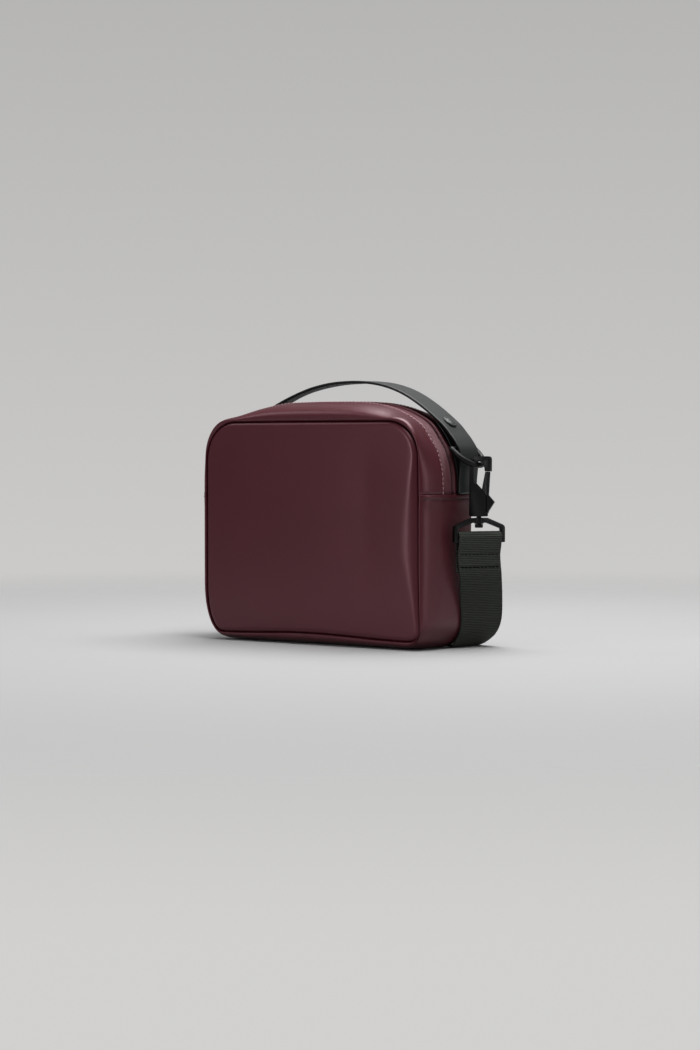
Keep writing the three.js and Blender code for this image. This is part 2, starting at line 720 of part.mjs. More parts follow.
addPair("d_ring", dRing(), METAL_BLACK, 0.35, 0.7);

// Snap buttons: a domed cap on the handle over the tab's upper end.
const SNAP_PAST = 48.6;
const SNAP_X = SHOULDER.x + SNAP_PAST;
function snap(side) {
  const profile = [
    [0, 0],
    [SNAP_RADIUS, 0],
    [SNAP_RADIUS, SNAP_HEIGHT * 0.45],
    [SNAP_RADIUS * 0.86, SNAP_HEIGHT * 0.9],
    [SNAP_RADIUS * 0.5, SNAP_HEIGHT],
    [0, SNAP_HEIGHT],
  ].map(([r, h]) => new THREE.Vector2(r, h));
  const geometry = new THREE.LatheGeometry(profile, 16);
  const place = handleLine.reduce((best, p) => {
    const off = Math.abs(Math.abs(p.x) - SNAP_X) + (p.x * side < 0 ? 1000 : 0);
    return off < best.off ? { off, p } : best;
  }, { off: 1e9 }).p;
  const index = handleLine.indexOf(place);
  const before = handleLine[index - 1];
  const after = handleLine[index + 1];
  const tangent = new THREE.Vector3(after.x - before.x, 0, after.z - before.z).normalize();
  const across = new THREE.Vector3(0, HANDLE_WIDTH, place.rise).normalize();
  const normal = new THREE.Vector3().crossVectors(tangent, across).normalize();
  geometry.applyQuaternion(new THREE.Quaternion().setFromUnitVectors(new THREE.Vector3(0, 1, 0), normal));
  const lift = HANDLE_THICKNESS / 2 + GAP;
  geometry.translate(place.x + normal.x * lift, HANDLE_NEAR_Y + HANDLE_WIDTH / 2, place.z + normal.z * lift);
  return geometry;
}
add("right_snap", snap(1), STRAP_BLACK, 0.35, 0.3);
add("left_snap", snap(-1), STRAP_BLACK, 0.35, 0.3);

// A flat piece cut from an outline in X and Z, centred on the hook's plane.
function plate(outline, holes, thickness, curveSteps = 4) {
  const shape = new THREE.Shape(outline.map(([x, z]) => new THREE.Vector2(x, z)));
  for (const hole of holes) shape.holes.push(new THREE.Path(hole.map(([x, z]) => new THREE.Vector2(x, z))));
  const geometry = new THREE.ExtrudeGeometry(shape, { depth: thickness, bevelEnabled: false, curveSegments: curveSteps });
  geometry.rotateX(Math.PI / 2);
  geometry.translate(0, thickness / 2, 0);
  return geometry;
}

// Turns a piece of the hook from its own plane to its place.
function placed(geometry) {
  geometry.rotateZ(rad(HOOK_ANGLE));
  geometry.translate(SWIVEL_X, HOOK_Y, HOOK_RISE);
  return geometry;
}

// Rounds the listed corners of an outline; each row is x, z, radius.
function rounded(rows, steps = 2) {
  const result = [];
  rows.forEach(([x, z, radius = 0], i) => {
    if (!radius) {
      result.push([x, z]);
      return;
    }
    const corner = new THREE.Vector2(x, z);
    const before = new THREE.Vector2(...rows[(i + rows.length - 1) % rows.length].slice(0, 2)).sub(corner);
    const after = new THREE.Vector2(...rows[(i + 1) % rows.length].slice(0, 2)).sub(corner);
    const half = Math.acos(before.clone().normalize().dot(after.clone().normalize())) / 2;
    const reach = radius / Math.tan(half);
    const start = corner.clone().addScaledVector(before.clone().normalize(), reach);
    const end = corner.clone().addScaledVector(after.clone().normalize(), reach);
    for (let k = 0; k <= steps; k++) {
      const t = k / steps;
      const p = start.clone().multiplyScalar((1 - t) ** 2);
      p.addScaledVector(corner, 2 * t * (1 - t));
      p.addScaledVector(end, t * t);
      result.push([p.x, p.y]);
    }
  });
  return result;
}

const circle = (x, z, r, n) =>
  [...Array(n).keys()].map((i) => [x + r * Math.cos((i / n) * 2 * Math.PI), z + r * Math.sin((i / n) * 2 * Math.PI)]);

// Hook outlines in the hook's plane, across from the swivel's axis and up: x, z, corner radius
const HOOK_OUTLINE = [
  [-7.3, 101, 1.2],
  [-6.8, 147.6, 5],
  [9.9, 147.6, 2.2],
  [9.8, 135.9, 0],
  [5.7, 135.9, 0.5],
  [4.6, 143.4, 3],
  [-4.3, 143.4, 1.4],
  [-4.3, 128.2, 1],
  [6.6, 117.2, 0.8],
  [6.6, 101.2, 0.8],
];
const GATE_OUTLINE = [
  [9.0, 135.3, 0.5],
  [5.6, 135.3, 0.5],
  [3.0, 123.2, 0.8],
  [1.6, 111.2, 0],
  [1.8, 108.0, 1.6],
  [3.6, 107.0, 1.2],
  [7.5, 102.4, 1],
  [8.0, 105.2, 0],
  [12.8, 112.3, 0.8],
  [7.9, 117.6, 0.8],
];
const SLOT_OUTLINE = [
  [-2.6, 133],
  [-2.6, 120],
  [-0.8, 112],
  [0.6, 106.2],
  [3.2, 103.6],
  [12, 96],
  [12, 133],
];
const POST_TOP = 106;

function hookBody() {
  const body = plate(rounded(HOOK_OUTLINE), [], HOOK_THICKNESS);
  const slot = plate(SLOT_OUTLINE, [], SLOT_THICKNESS);
  const pin = plate(circle(PIVOT.x, PIVOT.z, PIVOT_RADIUS, 10), [], HOOK_THICKNESS);
  const socket = new THREE.CylinderGeometry(SWIVEL_RADIUS + 0.35, SWIVEL_RADIUS + 0.35, 20, 16);
  socket.rotateX(Math.PI / 2);
  socket.translate(0, 0, POST_TOP + 0.3 - 10);
  return placed(cut(join(cut(body, slot), pin), socket));
}

function gate() {
  const whole = plate(rounded(GATE_OUTLINE), [], GATE_THICKNESS);
  const hole = plate(circle(PIVOT.x, PIVOT.z, PIVOT_RADIUS + 0.35, 10), [], GATE_THICKNESS + 2);
  return placed(cut(whole, hole));
}
addPair("hook_body", hookBody(), METAL_BLACK, 0.4, 0.5);
addPair("gate", gate(), METAL_BLACK, 0.4, 0.5);

// Swivel post with its head under the bracket
function swivel() {
  const bottom = 92.4;
  const profile = [
    [0, bottom],
    [SWIVEL_HEAD_RADIUS - 0.4, bottom],
    [SWIVEL_HEAD_RADIUS, bottom + 0.5],
    [SWIVEL_HEAD_RADIUS, bottom + 2.8],
    [SWIVEL_RADIUS, bottom + 2.8],
    [SWIVEL_RADIUS, POST_TOP],
    [0, POST_TOP],
  ].map(([r, z]) => new THREE.Vector2(r, z));
  const geometry = new THREE.LatheGeometry(profile, 16);
  geometry.rotateX(Math.PI / 2);
  geometry.translate(SWIVEL_X, HOOK_Y, HOOK_RISE);
  return geometry;
}
addPair("swivel", swivel(), METAL_BLACK, 0.4, 0.5);

// Bracket: x across, z up, corner radius, in its own turned plane.
const BRACKET_FOOT = 81;
const BRACKET_TOP = 100;
function bracket() {
  const w = BRACKET_HALF_WIDTH;
  const inner = w - BRACKET_LEG;
  const outline = rounded([
    [-w, BRACKET_FOOT, 0.8],
    [-w, 94, 3],
    [-7, BRACKET_TOP, 2],
    [7, BRACKET_TOP, 2],
    [w, 94, 3],
    [w, BRACKET_FOOT, 0.8],
    [inner, BRACKET_FOOT, 0.5],
    [inner, 91.6, 1.6],
    [6.5, 96.2, 1],
    [-6.5, 96.2, 1],
    [-inner, 91.6, 1.6],
    [-inner, BRACKET_FOOT, 0.5],
  ]);
  const shape = new THREE.Shape(outline.map(([x, z]) => new THREE.Vector2(x, z)));
  const frame = new THREE.ExtrudeGeometry(shape, { depth: BRACKET_THICKNESS, bevelEnabled: false });
  frame.rotateX(Math.PI / 2);
  frame.translate(0, BRACKET_THICKNESS / 2, 0);
  const boss = new THREE.CylinderGeometry(3.6, 3.6, 4.6, 16);
  boss.rotateX(Math.PI / 2);
  boss.translate(0, 0, 97.8);
  const bar = new THREE.CylinderGeometry(BRACKET_BAR_RADIUS, BRACKET_BAR_RADIUS, 2 * inner + 2, 10);
  bar.rotateZ(Math.PI / 2);
  bar.translate(0, 0, BRACKET_BAR_Z);
  const hole = new THREE.CylinderGeometry(SWIVEL_RADIUS + 0.35, SWIVEL_RADIUS + 0.35, 20, 16);
  hole.rotateX(Math.PI / 2);
  hole.translate(0, 0, 98);
  const body = cut(join(frame, boss, bar), hole);
  body.rotateZ(rad(BRACKET_ANGLE));
  body.translate(SWIVEL_X, HOOK_Y, HOOK_RISE);
  return body;
}
addPair("bracket", bracket(), METAL_BLACK, 0.4, 0.5);

// Strap: right half of its middle line with the direction of its width in degrees from X.
const STRAP_ROWS = [
  { inward: 0.2, y: 17.4, z: 56, lift: 1, turn: 66 },
  { inward: 4.3, y: 24.2, z: 36, lift: 0.65, turn: 66 },
  { inward: 7.7, y: 28.7, z: 20, lift: 0.35, turn: 70 },
  { inward: 11.3, y: 31.4, z: 9.5, lift: 0.1, turn: 76 },
  { inward: 17.8, y: 35, z: 2.6, lift: 0, turn: 84 },
  { inward: 25.4, y: 39.4, z: -0.5, lift: 0, turn: 90 },
  { inward: 36, y: 43.8, z: -0.5, lift: 0, turn: 93 },
  { inward: 51, y: 46.2, z: -0.5, lift: 0, turn: 92 },
  { share: 0.4651, y: 46.8, z: -0.5, lift: 0, turn: 91 },
  { share: 0.2326, y: 47, z: -0.5, lift: 0, turn: 90 },
  { share: 0, y: 47, z: -0.5, lift: 0, turn: 90 },
];
const STRAP_PATH = STRAP_ROWS.map(({ inward = 0, share = 1, y, z, lift, turn }) => ({
  x: SWIVEL_X * share - inward,
  y,
  z: z + HOOK_RISE * lift,
  turn,
}));

function strap() {
  const turn = rad(BRACKET_ANGLE);
  const outX = Math.sin(turn);
  const outY = -Math.cos(turn);
  const around = BRACKET_BAR_RADIUS + GAP + STRAP_THICKNESS / 2;
  const nearBar = (off, z) => ({
    x: SWIVEL_X + outX * off,
    y: HOOK_Y + outY * off,
    z: z + HOOK_RISE,
    turn: BRACKET_ANGLE,
  });
  const rows = [
    nearBar(-2.5, 58),
    nearBar(-2.6, 66),
    nearBar(-2.8, 76),
    nearBar(-around, BRACKET_BAR_Z - 2),
  ];
  for (let i = 0; i <= 8; i++) {
    const a = Math.PI - (i / 8) * Math.PI;
    rows.push(nearBar(Math.cos(a) * around, BRACKET_BAR_Z + Math.sin(a) * around));
  }
  rows.push(nearBar(2.0, 79), nearBar(0.4, 70));
  const lower = new THREE.CatmullRomCurve3(
    [nearBar(0.4, 70), ...STRAP_PATH].map((p) => new THREE.Vector3(p.x, p.y, p.z)),
    false,
    "centripetal",
  );
  const turns = [BRACKET_ANGLE, ...STRAP_PATH.map((p) => p.turn)];
  const spans = STRAP_PATH.length;
  const perSpan = 3;
  for (let i = 1; i <= spans * perSpan; i++) {
    const t = i / (spans * perSpan);
    const p = lower.getPoint(t);
    const span = Math.min(spans - 1, Math.floor(t * spans));
    rows.push({ x: p.x, y: p.y, z: Math.max(p.z, STRAP_THICKNESS / 2 - RAISE), turn: lerp(turns[span], turns[span + 1], t * spans - span) });
  }
  const left = rows.slice(0, -1).reverse().map((r) => ({ x: -r.x, y: r.y, z: r.z, turn: 180 - r.turn }));
  const all = [...rows, ...left];
  const rings = all.map((row, i) => {
    const before = all[Math.max(0, i - 1)];
    const after = all[Math.min(all.length - 1, i + 1)];
    const tangent = new THREE.Vector3(after.x - before.x, after.y - before.y, after.z - before.z).normalize();
    const width = new THREE.Vector3(Math.cos(rad(row.turn)), Math.sin(rad(row.turn)), 0);
    const normal = new THREE.Vector3().crossVectors(width, tangent).normalize();
    const centre = new THREE.Vector3(row.x, row.y, row.z);
    const corner = (u, n) =>
      centre
        .clone()
        .addScaledVector(width, (u * STRAP_WIDTH) / 2)
        .addScaledVector(normal, (n * STRAP_THICKNESS) / 2);
    return [corner(-1, 1), corner(1, 1), corner(1, -1), corner(-1, -1)];
  });
  return loft(rings);
}
add("strap", strap(), WEBBING, 0.75);

export default group;
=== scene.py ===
import math

import bmesh
import bpy
import numpy as np
from mathutils import Matrix, Vector


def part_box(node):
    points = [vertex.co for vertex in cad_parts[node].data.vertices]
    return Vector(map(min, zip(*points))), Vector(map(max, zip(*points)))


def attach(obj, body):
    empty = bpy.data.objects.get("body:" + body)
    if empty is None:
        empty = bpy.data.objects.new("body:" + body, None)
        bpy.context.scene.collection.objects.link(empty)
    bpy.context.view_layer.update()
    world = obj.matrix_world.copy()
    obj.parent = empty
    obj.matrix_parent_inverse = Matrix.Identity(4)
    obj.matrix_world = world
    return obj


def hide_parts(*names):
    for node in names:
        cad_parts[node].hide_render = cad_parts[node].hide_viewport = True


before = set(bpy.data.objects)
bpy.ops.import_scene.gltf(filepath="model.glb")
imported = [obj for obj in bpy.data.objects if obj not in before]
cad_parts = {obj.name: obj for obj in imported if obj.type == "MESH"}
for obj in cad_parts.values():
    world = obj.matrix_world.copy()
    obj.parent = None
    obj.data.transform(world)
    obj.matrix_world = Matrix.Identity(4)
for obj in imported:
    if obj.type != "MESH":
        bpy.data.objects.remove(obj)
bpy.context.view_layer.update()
bpy.ops.object.select_all(action="DESELECT")

# Camera: a long lens a little over two metres away, looking at the bag's front right corner from just
# above the table's height. The lens is given by the picture's height and the eye's distance in pixels.
camera_data = bpy.data.cameras.new("camera")
camera_data.sensor_fit = "AUTO"
camera_data.sensor_width = 36
picture_height, eye_pixels = 1050, 2600
camera_data.lens = eye_pixels * 36 / picture_height
camera = bpy.data.objects.new("camera", camera_data)
bpy.context.collection.objects.link(camera)
turn, pitch = math.radians(39), math.radians(1.7034)
look = Vector((-math.sin(turn) * math.cos(pitch), math.cos(turn) * math.cos(pitch), -math.sin(pitch)))
right = Vector((math.cos(turn), math.sin(turn), 0))
above = right.cross(look)
aim_height, distance, shift_right, shift_down = 0.0963, 2.0765, 0.0102, 0.00256
camera.location = Vector((0, 0, aim_height)) - look * distance + right * shift_right - above * shift_down
camera.rotation_euler = Matrix((right, above, -look)).transposed().to_euler()
bpy.context.scene.camera = camera

# Studio: a pale floor that fades into a light grey room, a large soft box overhead with a small one
# on each side of it, two low ones in front on the left, and a weak one on the right.
bpy.context.scene.view_settings.view_transform = "Standard"
bpy.ops.mesh.primitive_plane_add(size=8, location=(0, 0, -0.0001))
floor = bpy.context.active_object
floor.name = "floor"
paper = bpy.data.materials.new("paper")
paper.use_nodes = True
nodes, wires = paper.node_tree.nodes, paper.node_tree.links
nodes["Principled BSDF"].inputs["Base Color"].default_value = (0.36, 0.36, 0.363, 1)
nodes["Principled BSDF"].inputs["Roughness"].default_value = 0.9
where, reach, clear, fade = (
    nodes.new("ShaderNodeTexCoord"), nodes.new("ShaderNodeMapRange"),
    nodes.new("ShaderNodeBsdfTransparent"), nodes.new("ShaderNodeMixShader"),
)
far = nodes.new("ShaderNodeVectorMath")
far.operation = "LENGTH"
reach.interpolation_type = "SMOOTHSTEP"
reach.inputs["From Min"].default_value = 0.3
reach.inputs["From Max"].default_value = 1.3
wires.new(where.outputs["Object"], far.inputs[0])
wires.new(far.outputs["Value"], reach.inputs["Value"])
wires.new(reach.outputs["Result"], fade.inputs["Fac"])
wires.new(nodes["Principled BSDF"].outputs["BSDF"], fade.inputs[1])
wires.new(clear.outputs["BSDF"], fade.inputs[2])
wires.new(fade.outputs["Shader"], nodes["Material Output"].inputs["Surface"])
floor.data.materials.append(paper)

world = bpy.context.scene.world or bpy.data.worlds.new("world")
bpy.context.scene.world = world
world.use_nodes = True
nodes, wires = world.node_tree.nodes, world.node_tree.links
seen, level, where, height, rise = (
    nodes.new("ShaderNodeLightPath"), nodes.new("ShaderNodeMix"), nodes.new("ShaderNodeTexCoord"),
    nodes.new("ShaderNodeSeparateXYZ"), nodes.new("ShaderNodeMapRange"),
)
rise.inputs["From Min"].default_value, rise.inputs["From Max"].default_value = -0.12, 0.2
rise.inputs["To Min"].default_value, rise.inputs["To Max"].default_value = 0.64, 0.45
level.inputs["A"].default_value = 0.18
wires.new(where.outputs["Generated"], height.inputs["Vector"])
wires.new(height.outputs["Z"], rise.inputs["Value"])
wires.new(rise.outputs["Result"], level.inputs["B"])
wires.new(seen.outputs["Is Camera Ray"], level.inputs["Factor"])
wires.new(level.outputs["Result"], nodes["Background"].inputs["Strength"])
nodes["Background"].inputs["Color"].default_value = (1, 0.99, 0.98, 1)

for name, place, wide, high, power in [
    ("overhead", (0.02, 0.36, 1.5), 1.4, 1.2, 37),
    ("overhead_right", (0.52, -0.3, 1.35), 0.5, 0.5, 7),
    ("overhead_left", (-1.15, -0.42, 1.3), 0.45, 0.45, 1.8),
    ("front_box", (-0.62, -1.75, 0.2), 0.8, 0.6, 0.9),
    ("front_strip", (-0.4, -1.75, 0.5), 0.22, 1.0, 7.4),
    ("right_side", (1.6, 0.5, 0.3), 0.4, 0.6, 2),
]:
    lamp = bpy.data.lights.new(name, "AREA")
    lamp.shape = "RECTANGLE"
    lamp.size, lamp.size_y = wide, high
    lamp.energy = power
    holder = bpy.data.objects.new(name, lamp)
    bpy.context.collection.objects.link(holder)
    holder.location = place
    holder.rotation_euler = (Vector(place) - Vector((0, 0, 0.1))).to_track_quat("Z", "Y").to_euler()

# Bag body: two soft panels joined all round to a gusset of the same coated fabric.
# The seam is where a panel meets the gusset, and the ridge is the gusset's middle, all in millimetres.
raise_body = 1.3
half_depth = 35.0
seam = {"half_width": 108.0, "top": 174.5, "bottom": 5.6, "top_radius": 30.0, "bow": 2.6, "flare": 2.2}
seam_corner = {1: (9.0, 9.0), -1: (16.0, 36.0)}
ridge_half_width = 115.0
ridge_corner = {1: (21.0, 24.0), -1: (26.0, 44.0)}
side_top = 118.0
steps = {"bottom": 14, "bottom_corner": 8, "lower_side": 12, "upper_side": 4, "top_corner": 12, "top": 12}
side_top_index = steps["bottom"] + steps["bottom_corner"] + steps["lower_side"]
last_index = sum(steps.values())
shoulder_line = [
    (115, 118), (115, 127), (113.8, 139), (109, 152.4), (102.4, 161.8), (95.6, 170.7),
    (88.1, 176.1), (76.9, 181.5), (63.3, 185.9), (42.5, 189.2), (18.4, 190), (0, 190.2), (-18.4, 190),
]


def smooth(points, count=None, places=None):
    """Points along a smooth curve through the given rows, evenly spaced or at shares of its length."""
    p = np.array(points, float)
    p = np.vstack([2 * p[0] - p[1], p, 2 * p[-1] - p[-2]])
    t = np.linspace(0, 1, 24, endpoint=False)[:, None]
    line = []
    for i in range(1, len(p) - 2):
        a, b, c, d = p[i - 1], p[i], p[i + 1], p[i + 2]
        square, cube = 2 * a - 5 * b + 4 * c - d, 3 * b - a - 3 * c + d
        line.append(0.5 * (2 * b + (c - a) * t + square * t**2 + cube * t**3))
    line = np.vstack(line + [p[-2]])
    run = np.r_[0, np.cumsum(np.linalg.norm(np.diff(line[:, :3], axis=0), axis=1))]
    shares = np.linspace(0, 1, count) if places is None else np.array(places)
    return np.stack([np.interp(shares * run[-1], run, line[:, k]) for k in range(line.shape[1])], -1)


def lower_outline(half_width, bottom, corner, bow, flare):
    """Bottom, bottom corner and side of half an outline, up to the side panel's top."""
    across, up = corner
    flat = half_width - across
    rows = []
    for i in range(steps["bottom"]):
        x = flat * i / steps["bottom"]
        rows.append((x, bottom + bow * math.cos(x / flat * math.pi / 2) ** 2))
    for i in range(steps["bottom_corner"]):
        a = i / steps["bottom_corner"] * math.pi / 2
        z = bottom + up * (1 - math.cos(a))
        wide = flare * max(0, 1 - z / 75) ** 1.5
        rows.append((flat + (across + wide) * math.sin(a), z))
    for i in range(steps["lower_side"]):
        z = bottom + up + (side_top - bottom - up) * i / steps["lower_side"]
        rows.append((half_width + flare * max(0, 1 - z / 75) ** 1.5, z))
    return rows


def seam_half(inset, side):
    """Half of the seam's outline on the right (1) or left (-1), drawn in by an inset."""
    half_width, top = seam["half_width"] - inset, seam["top"] - inset
    radius = max(seam["top_radius"] - inset, 8)
    corner = [max(c - inset, 3) for c in seam_corner[side]]
    flare = seam["flare"] if side > 0 else 0
    rows = lower_outline(half_width, seam["bottom"] + inset, corner, seam["bow"], flare)
    high = top - radius
    for i in range(steps["upper_side"]):
        rows.append((half_width, side_top + (high - side_top) * i / steps["upper_side"]))
    for i in range(steps["top_corner"]):
        a = i / steps["top_corner"] * math.pi / 2
        rows.append((half_width - radius * (1 - math.cos(a)), high + radius * math.sin(a)))
    for i in range(steps["top"] + 1):
        rows.append(((half_width - radius) * (1 - i / steps["top"]), top))
    return np.array(rows)


def ridge_half(side):
    """Half of the ridge's outline, with a station for each of the seam's."""
    rows = lower_outline(ridge_half_width, -raise_body, ridge_corner[side], 0, -0.8)
    near = seam_half(0, side)[side_top_index:]
    run = np.r_[0, np.cumsum(np.linalg.norm(np.diff(near, axis=0), axis=1))]
    whole = smooth(shoulder_line, 600)
    half = whole[whole[:, 0] >= -0.2]
    return np.vstack([rows, smooth(half[::6], places=run / run[-1])])


def stations(first, last, over_top):
    """Right and left halves of the seam and ridge between two stations, in one run from right to left."""
    runs = []
    for side in (1, -1):
        a, b = seam_half(0, side), ridge_half(side)
        along = np.gradient(a, axis=0)
        along[0], along[-1] = (1, 0), (-1, 0)
        along /= np.linalg.norm(along, axis=1)[:, None]
        place = (np.arange(len(a)) - side_top_index - steps["upper_side"] + 1) / (steps["top_corner"] + 3)
        crown = np.where((place > 0) & (place < 1), 4.4 * np.sin(np.pi * np.clip(place, 0, 1)) ** 2, 0)
        flip = np.array([side, 1])
        runs.append([a * flip, (b - a) * flip, np.stack([along[:, 1], -along[:, 0]], -1) * flip, crown])
    cut = slice(first, last + 1)
    if over_top:
        return [np.concatenate([r[cut], l[cut][::-1][1:]]) for r, l in zip(*runs)]
    return [np.concatenate([r[cut][::-1], l[cut][1:]]) for r, l in zip(*runs)]


taper_start = 13
taper_heights, taper_depths = [0, 30, 60, 92, 200], [13.5, 12.5, 8.5, 5.5, 5]


def tapered(p):
    """Draws the rear half forward, most at the bottom."""
    forward = np.interp(p[..., 2], taper_heights, taper_depths)
    p[..., 1] -= forward * np.clip((p[..., 1] - taper_start) / (half_depth - taper_start), 0, None)
    return p


def body_points(run, share, offset, depth):
    """Grid of points: a row for each station and a column for each place between seam and ridge."""
    origin, to_ridge, out, _ = run
    xz = origin[:, None] + to_ridge[:, None] * share[..., None] + out[:, None] * offset[..., None]
    return tapered(np.stack([xz[..., 0], np.broadcast_to(depth, xz.shape[:2]), xz[..., 1]], -1))


def skin(name, grid, closed=False, outward=None, along=None):
    """A mesh through a grid of points in millimetres, with its UV map in metres along rows and columns.

    A closed grid is a tube with capped ends; along gives the rows' own lengths in metres.
    """
    grid = np.array(grid, float)
    grid[..., 2] += raise_body
    grid /= 1000
    if closed:
        grid = np.concatenate([grid, grid[:, :1]], 1)
    rows, columns = grid.shape[:2]
    u = along
    if along is None:
        u = np.r_[0, np.cumsum(np.linalg.norm(np.diff(grid[:, columns // 2], axis=0), axis=1))]
    v = np.cumsum(np.linalg.norm(np.diff(grid, axis=1, prepend=grid[:, :1]), axis=2), axis=1)
    wrap = columns - 1 if closed else columns
    index = np.arange(rows * wrap).reshape(rows, wrap)
    faces, uvs = [], []
    for i in range(rows - 1):
        for j in range(columns - 1):
            k = (j + 1) % wrap
            faces.append((index[i, j], index[i + 1, j], index[i + 1, k], index[i, k]))
            uvs += [(u[i], v[i, j]), (u[i + 1], v[i + 1, j])]
            uvs += [(u[i + 1], v[i + 1, j + 1]), (u[i], v[i, j + 1])]
    if closed:
        for end, order in ((0, 1), (rows - 1, -1)):
            faces.append(tuple(index[end][::order]))
            uvs += [(u[end], v[end, j]) for j in range(wrap)][::order]
    mesh = bpy.data.meshes.new(name)
    mesh.from_pydata(grid[:, :wrap].reshape(-1, 3).tolist(), [], [tuple(map(int, f)) for f in faces])
    mesh.uv_layers.new(name="cloth").data.foreach_set("uv", np.array(uvs, np.float32).ravel())
    piece = bpy.data.objects.new(name, mesh)
    bpy.context.collection.objects.link(piece)
    faces_out(piece, outward)
    mesh.shade_smooth()
    return piece


def faces_out(piece, outward):
    """Turns the faces so that the one nearest a direction from the middle looks along it."""
    bm = bmesh.new()
    bm.from_mesh(piece.data)
    bm.faces.ensure_lookup_table()
    if outward is None:
        bmesh.ops.recalc_face_normals(bm, faces=bm.faces)
    else:
        outward = Vector(outward)
        bm.normal_update()
        face = max(bm.faces, key=lambda f: f.calc_center_median().dot(outward))
        if face.normal.dot(outward) < 0:
            bmesh.ops.reverse_faces(bm, faces=bm.faces)
    bm.to_mesh(piece.data)
    bm.free()


def apply(piece, kind, **values):
    """Adds a modifier with the given values and applies it."""
    bpy.ops.object.select_all(action="DESELECT")
    bpy.context.view_layer.objects.active = piece
    piece.select_set(True)
    modifier = piece.modifiers.new(kind.lower(), kind)
    for key, value in values.items():
        setattr(modifier, key, value)
    bpy.ops.object.modifier_apply(modifier=modifier.name)


def material(name, colour, roughness, **sockets):
    """A new material; returns it with its node tree's maker, link function and shader."""
    made = bpy.data.materials.new(name)
    made.use_nodes = True
    tree = made.node_tree
    shader = tree.nodes["Principled BSDF"]
    shader.inputs["Base Color"].default_value = (*colour, 1)
    shader.inputs["Roughness"].default_value = roughness
    for key, value in sockets.items():
        shader.inputs[key].default_value = value
    return made, tree.nodes.new, tree.links.new, shader


def grain(made, scale, strength, distance, detail=2.0, coordinates="Object", stretch=(1, 1, 1)):
    """Adds a layer of noise bump to a material, over any bump that it has."""
    _, new, link, shader = made
    where, mapping, noise, bump = (
        new("ShaderNodeTexCoord"), new("ShaderNodeMapping"), new("ShaderNodeTexNoise"), new("ShaderNodeBump"),
    )
    mapping.inputs["Scale"].default_value = stretch
    noise.inputs["Scale"].default_value = scale
    noise.inputs["Detail"].default_value = detail
    bump.inputs["Strength"].default_value = strength
    bump.inputs["Distance"].default_value = distance
    link(where.outputs[coordinates], mapping.inputs["Vector"])
    link(mapping.outputs["Vector"], noise.inputs["Vector"])
    link(noise.outputs["Fac"], bump.inputs["Height"])
    if shader.inputs["Normal"].is_linked:
        link(shader.inputs["Normal"].links[0].from_socket, bump.inputs["Normal"])
    link(bump.outputs["Normal"], shader.inputs["Normal"])


def mottle(made, scale, low, high):
    """Varies a material's colour softly between two colours."""
    _, new, link, shader = made
    where, noise, ramp = new("ShaderNodeTexCoord"), new("ShaderNodeTexNoise"), new("ShaderNodeValToRGB")
    noise.inputs["Scale"].default_value = scale
    noise.inputs["Detail"].default_value = 3
    ramp.color_ramp.elements[0].position, ramp.color_ramp.elements[1].position = 0.35, 0.65
    ramp.color_ramp.elements[0].color, ramp.color_ramp.elements[1].color = (*low, 1), (*high, 1)
    link(where.outputs["Object"], noise.inputs["Vector"])
    link(noise.outputs["Fac"], ramp.inputs["Fac"])
    link(ramp.outputs["Color"], shader.inputs["Base Color"])


coated = material("coated_fabric", (0.058, 0.009, 0.014), 0.34, **{"Specular Tint": (1, 0.6, 0.67, 1)})
coated[3].inputs["IOR"].default_value = 1.55
mottle(coated, 14, (0.055, 0.0085, 0.013), (0.061, 0.0095, 0.015))
grain(coated, 900, 0.12, 0.00012)
grain(coated, 60, 0.12, 0.0006, detail=1)


def finish(piece, body, slot, made, *nodes):
    """Gives a piece its finish, hangs it on the body that it rides on and hides the CAD parts that it stands
    for.
    """
    piece.data.materials.clear()
    piece.data.materials.append(made[0])
    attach(piece, body)
    if nodes:
        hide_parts(*nodes)


thread = material("thread", (0.36, 0.2, 0.22), 0.5)


def stitches(name, line, outward, slot, made, pitch=3.6, length=2.7, thick=0.85):
    """A row of small stitches along a line of points in millimetres, standing on a surface."""
    run = np.r_[0, np.cumsum(np.linalg.norm(np.diff(line, axis=0), axis=1))]
    count = int(run[-1] / pitch)
    spots = (np.arange(count) + 0.5) * run[-1] / count
    at = lambda values, where: np.stack([np.interp(where, run, values[:, k]) for k in range(3)], -1)
    middle, up = at(line, spots), at(outward, spots)
    ahead = at(line, spots + length / 2) - at(line, spots - length / 2)
    ahead /= np.linalg.norm(ahead, axis=1)[:, None]
    up /= np.linalg.norm(up, axis=1)[:, None]
    beside = np.cross(ahead, up)
    verts, faces = [], []
    shape = [(-0.5, 0.3), (-0.36, 0.8), (0, 1), (0.36, 0.8), (0.5, 0.3)]
    for i in range(count):
        base = len(verts)
        for along, wide in shape:
            for k in range(6):
                a = k / 6 * 2 * math.pi
                lift = math.sin(a) * wide * thick * 0.5 + thick * (0.25 if wide > 0.5 else -0.1)
                aside = math.cos(a) * wide * thick * 0.5
                verts.append(middle[i] + ahead[i] * along * length + beside[i] * aside + up[i] * lift)
        for r in range(4):
            for k in range(6):
                n = (k + 1) % 6
                faces.append((base + r * 6 + k, base + r * 6 + n, base + r * 6 + 6 + n, base + r * 6 + 6 + k))
        faces.append(tuple(base + k for k in range(6))[::-1])
        faces.append(tuple(base + 24 + k for k in range(6)))
    verts = (np.array(verts) + (0, 0, raise_body)) / 1000
    mesh = bpy.data.meshes.new(name)
    mesh.from_pydata(verts.tolist(), [], faces)
    piece = bpy.data.objects.new(name, mesh)
    bpy.context.collection.objects.link(piece)
    faces_out(piece, None)
    mesh.shade_smooth()
    finish(piece, "bag", slot, made)


# Front and back panels: coated fabric, gently domed, their edges rolled over into the seam.
# The front one rolls more widely down its right side.
dome = 3.2


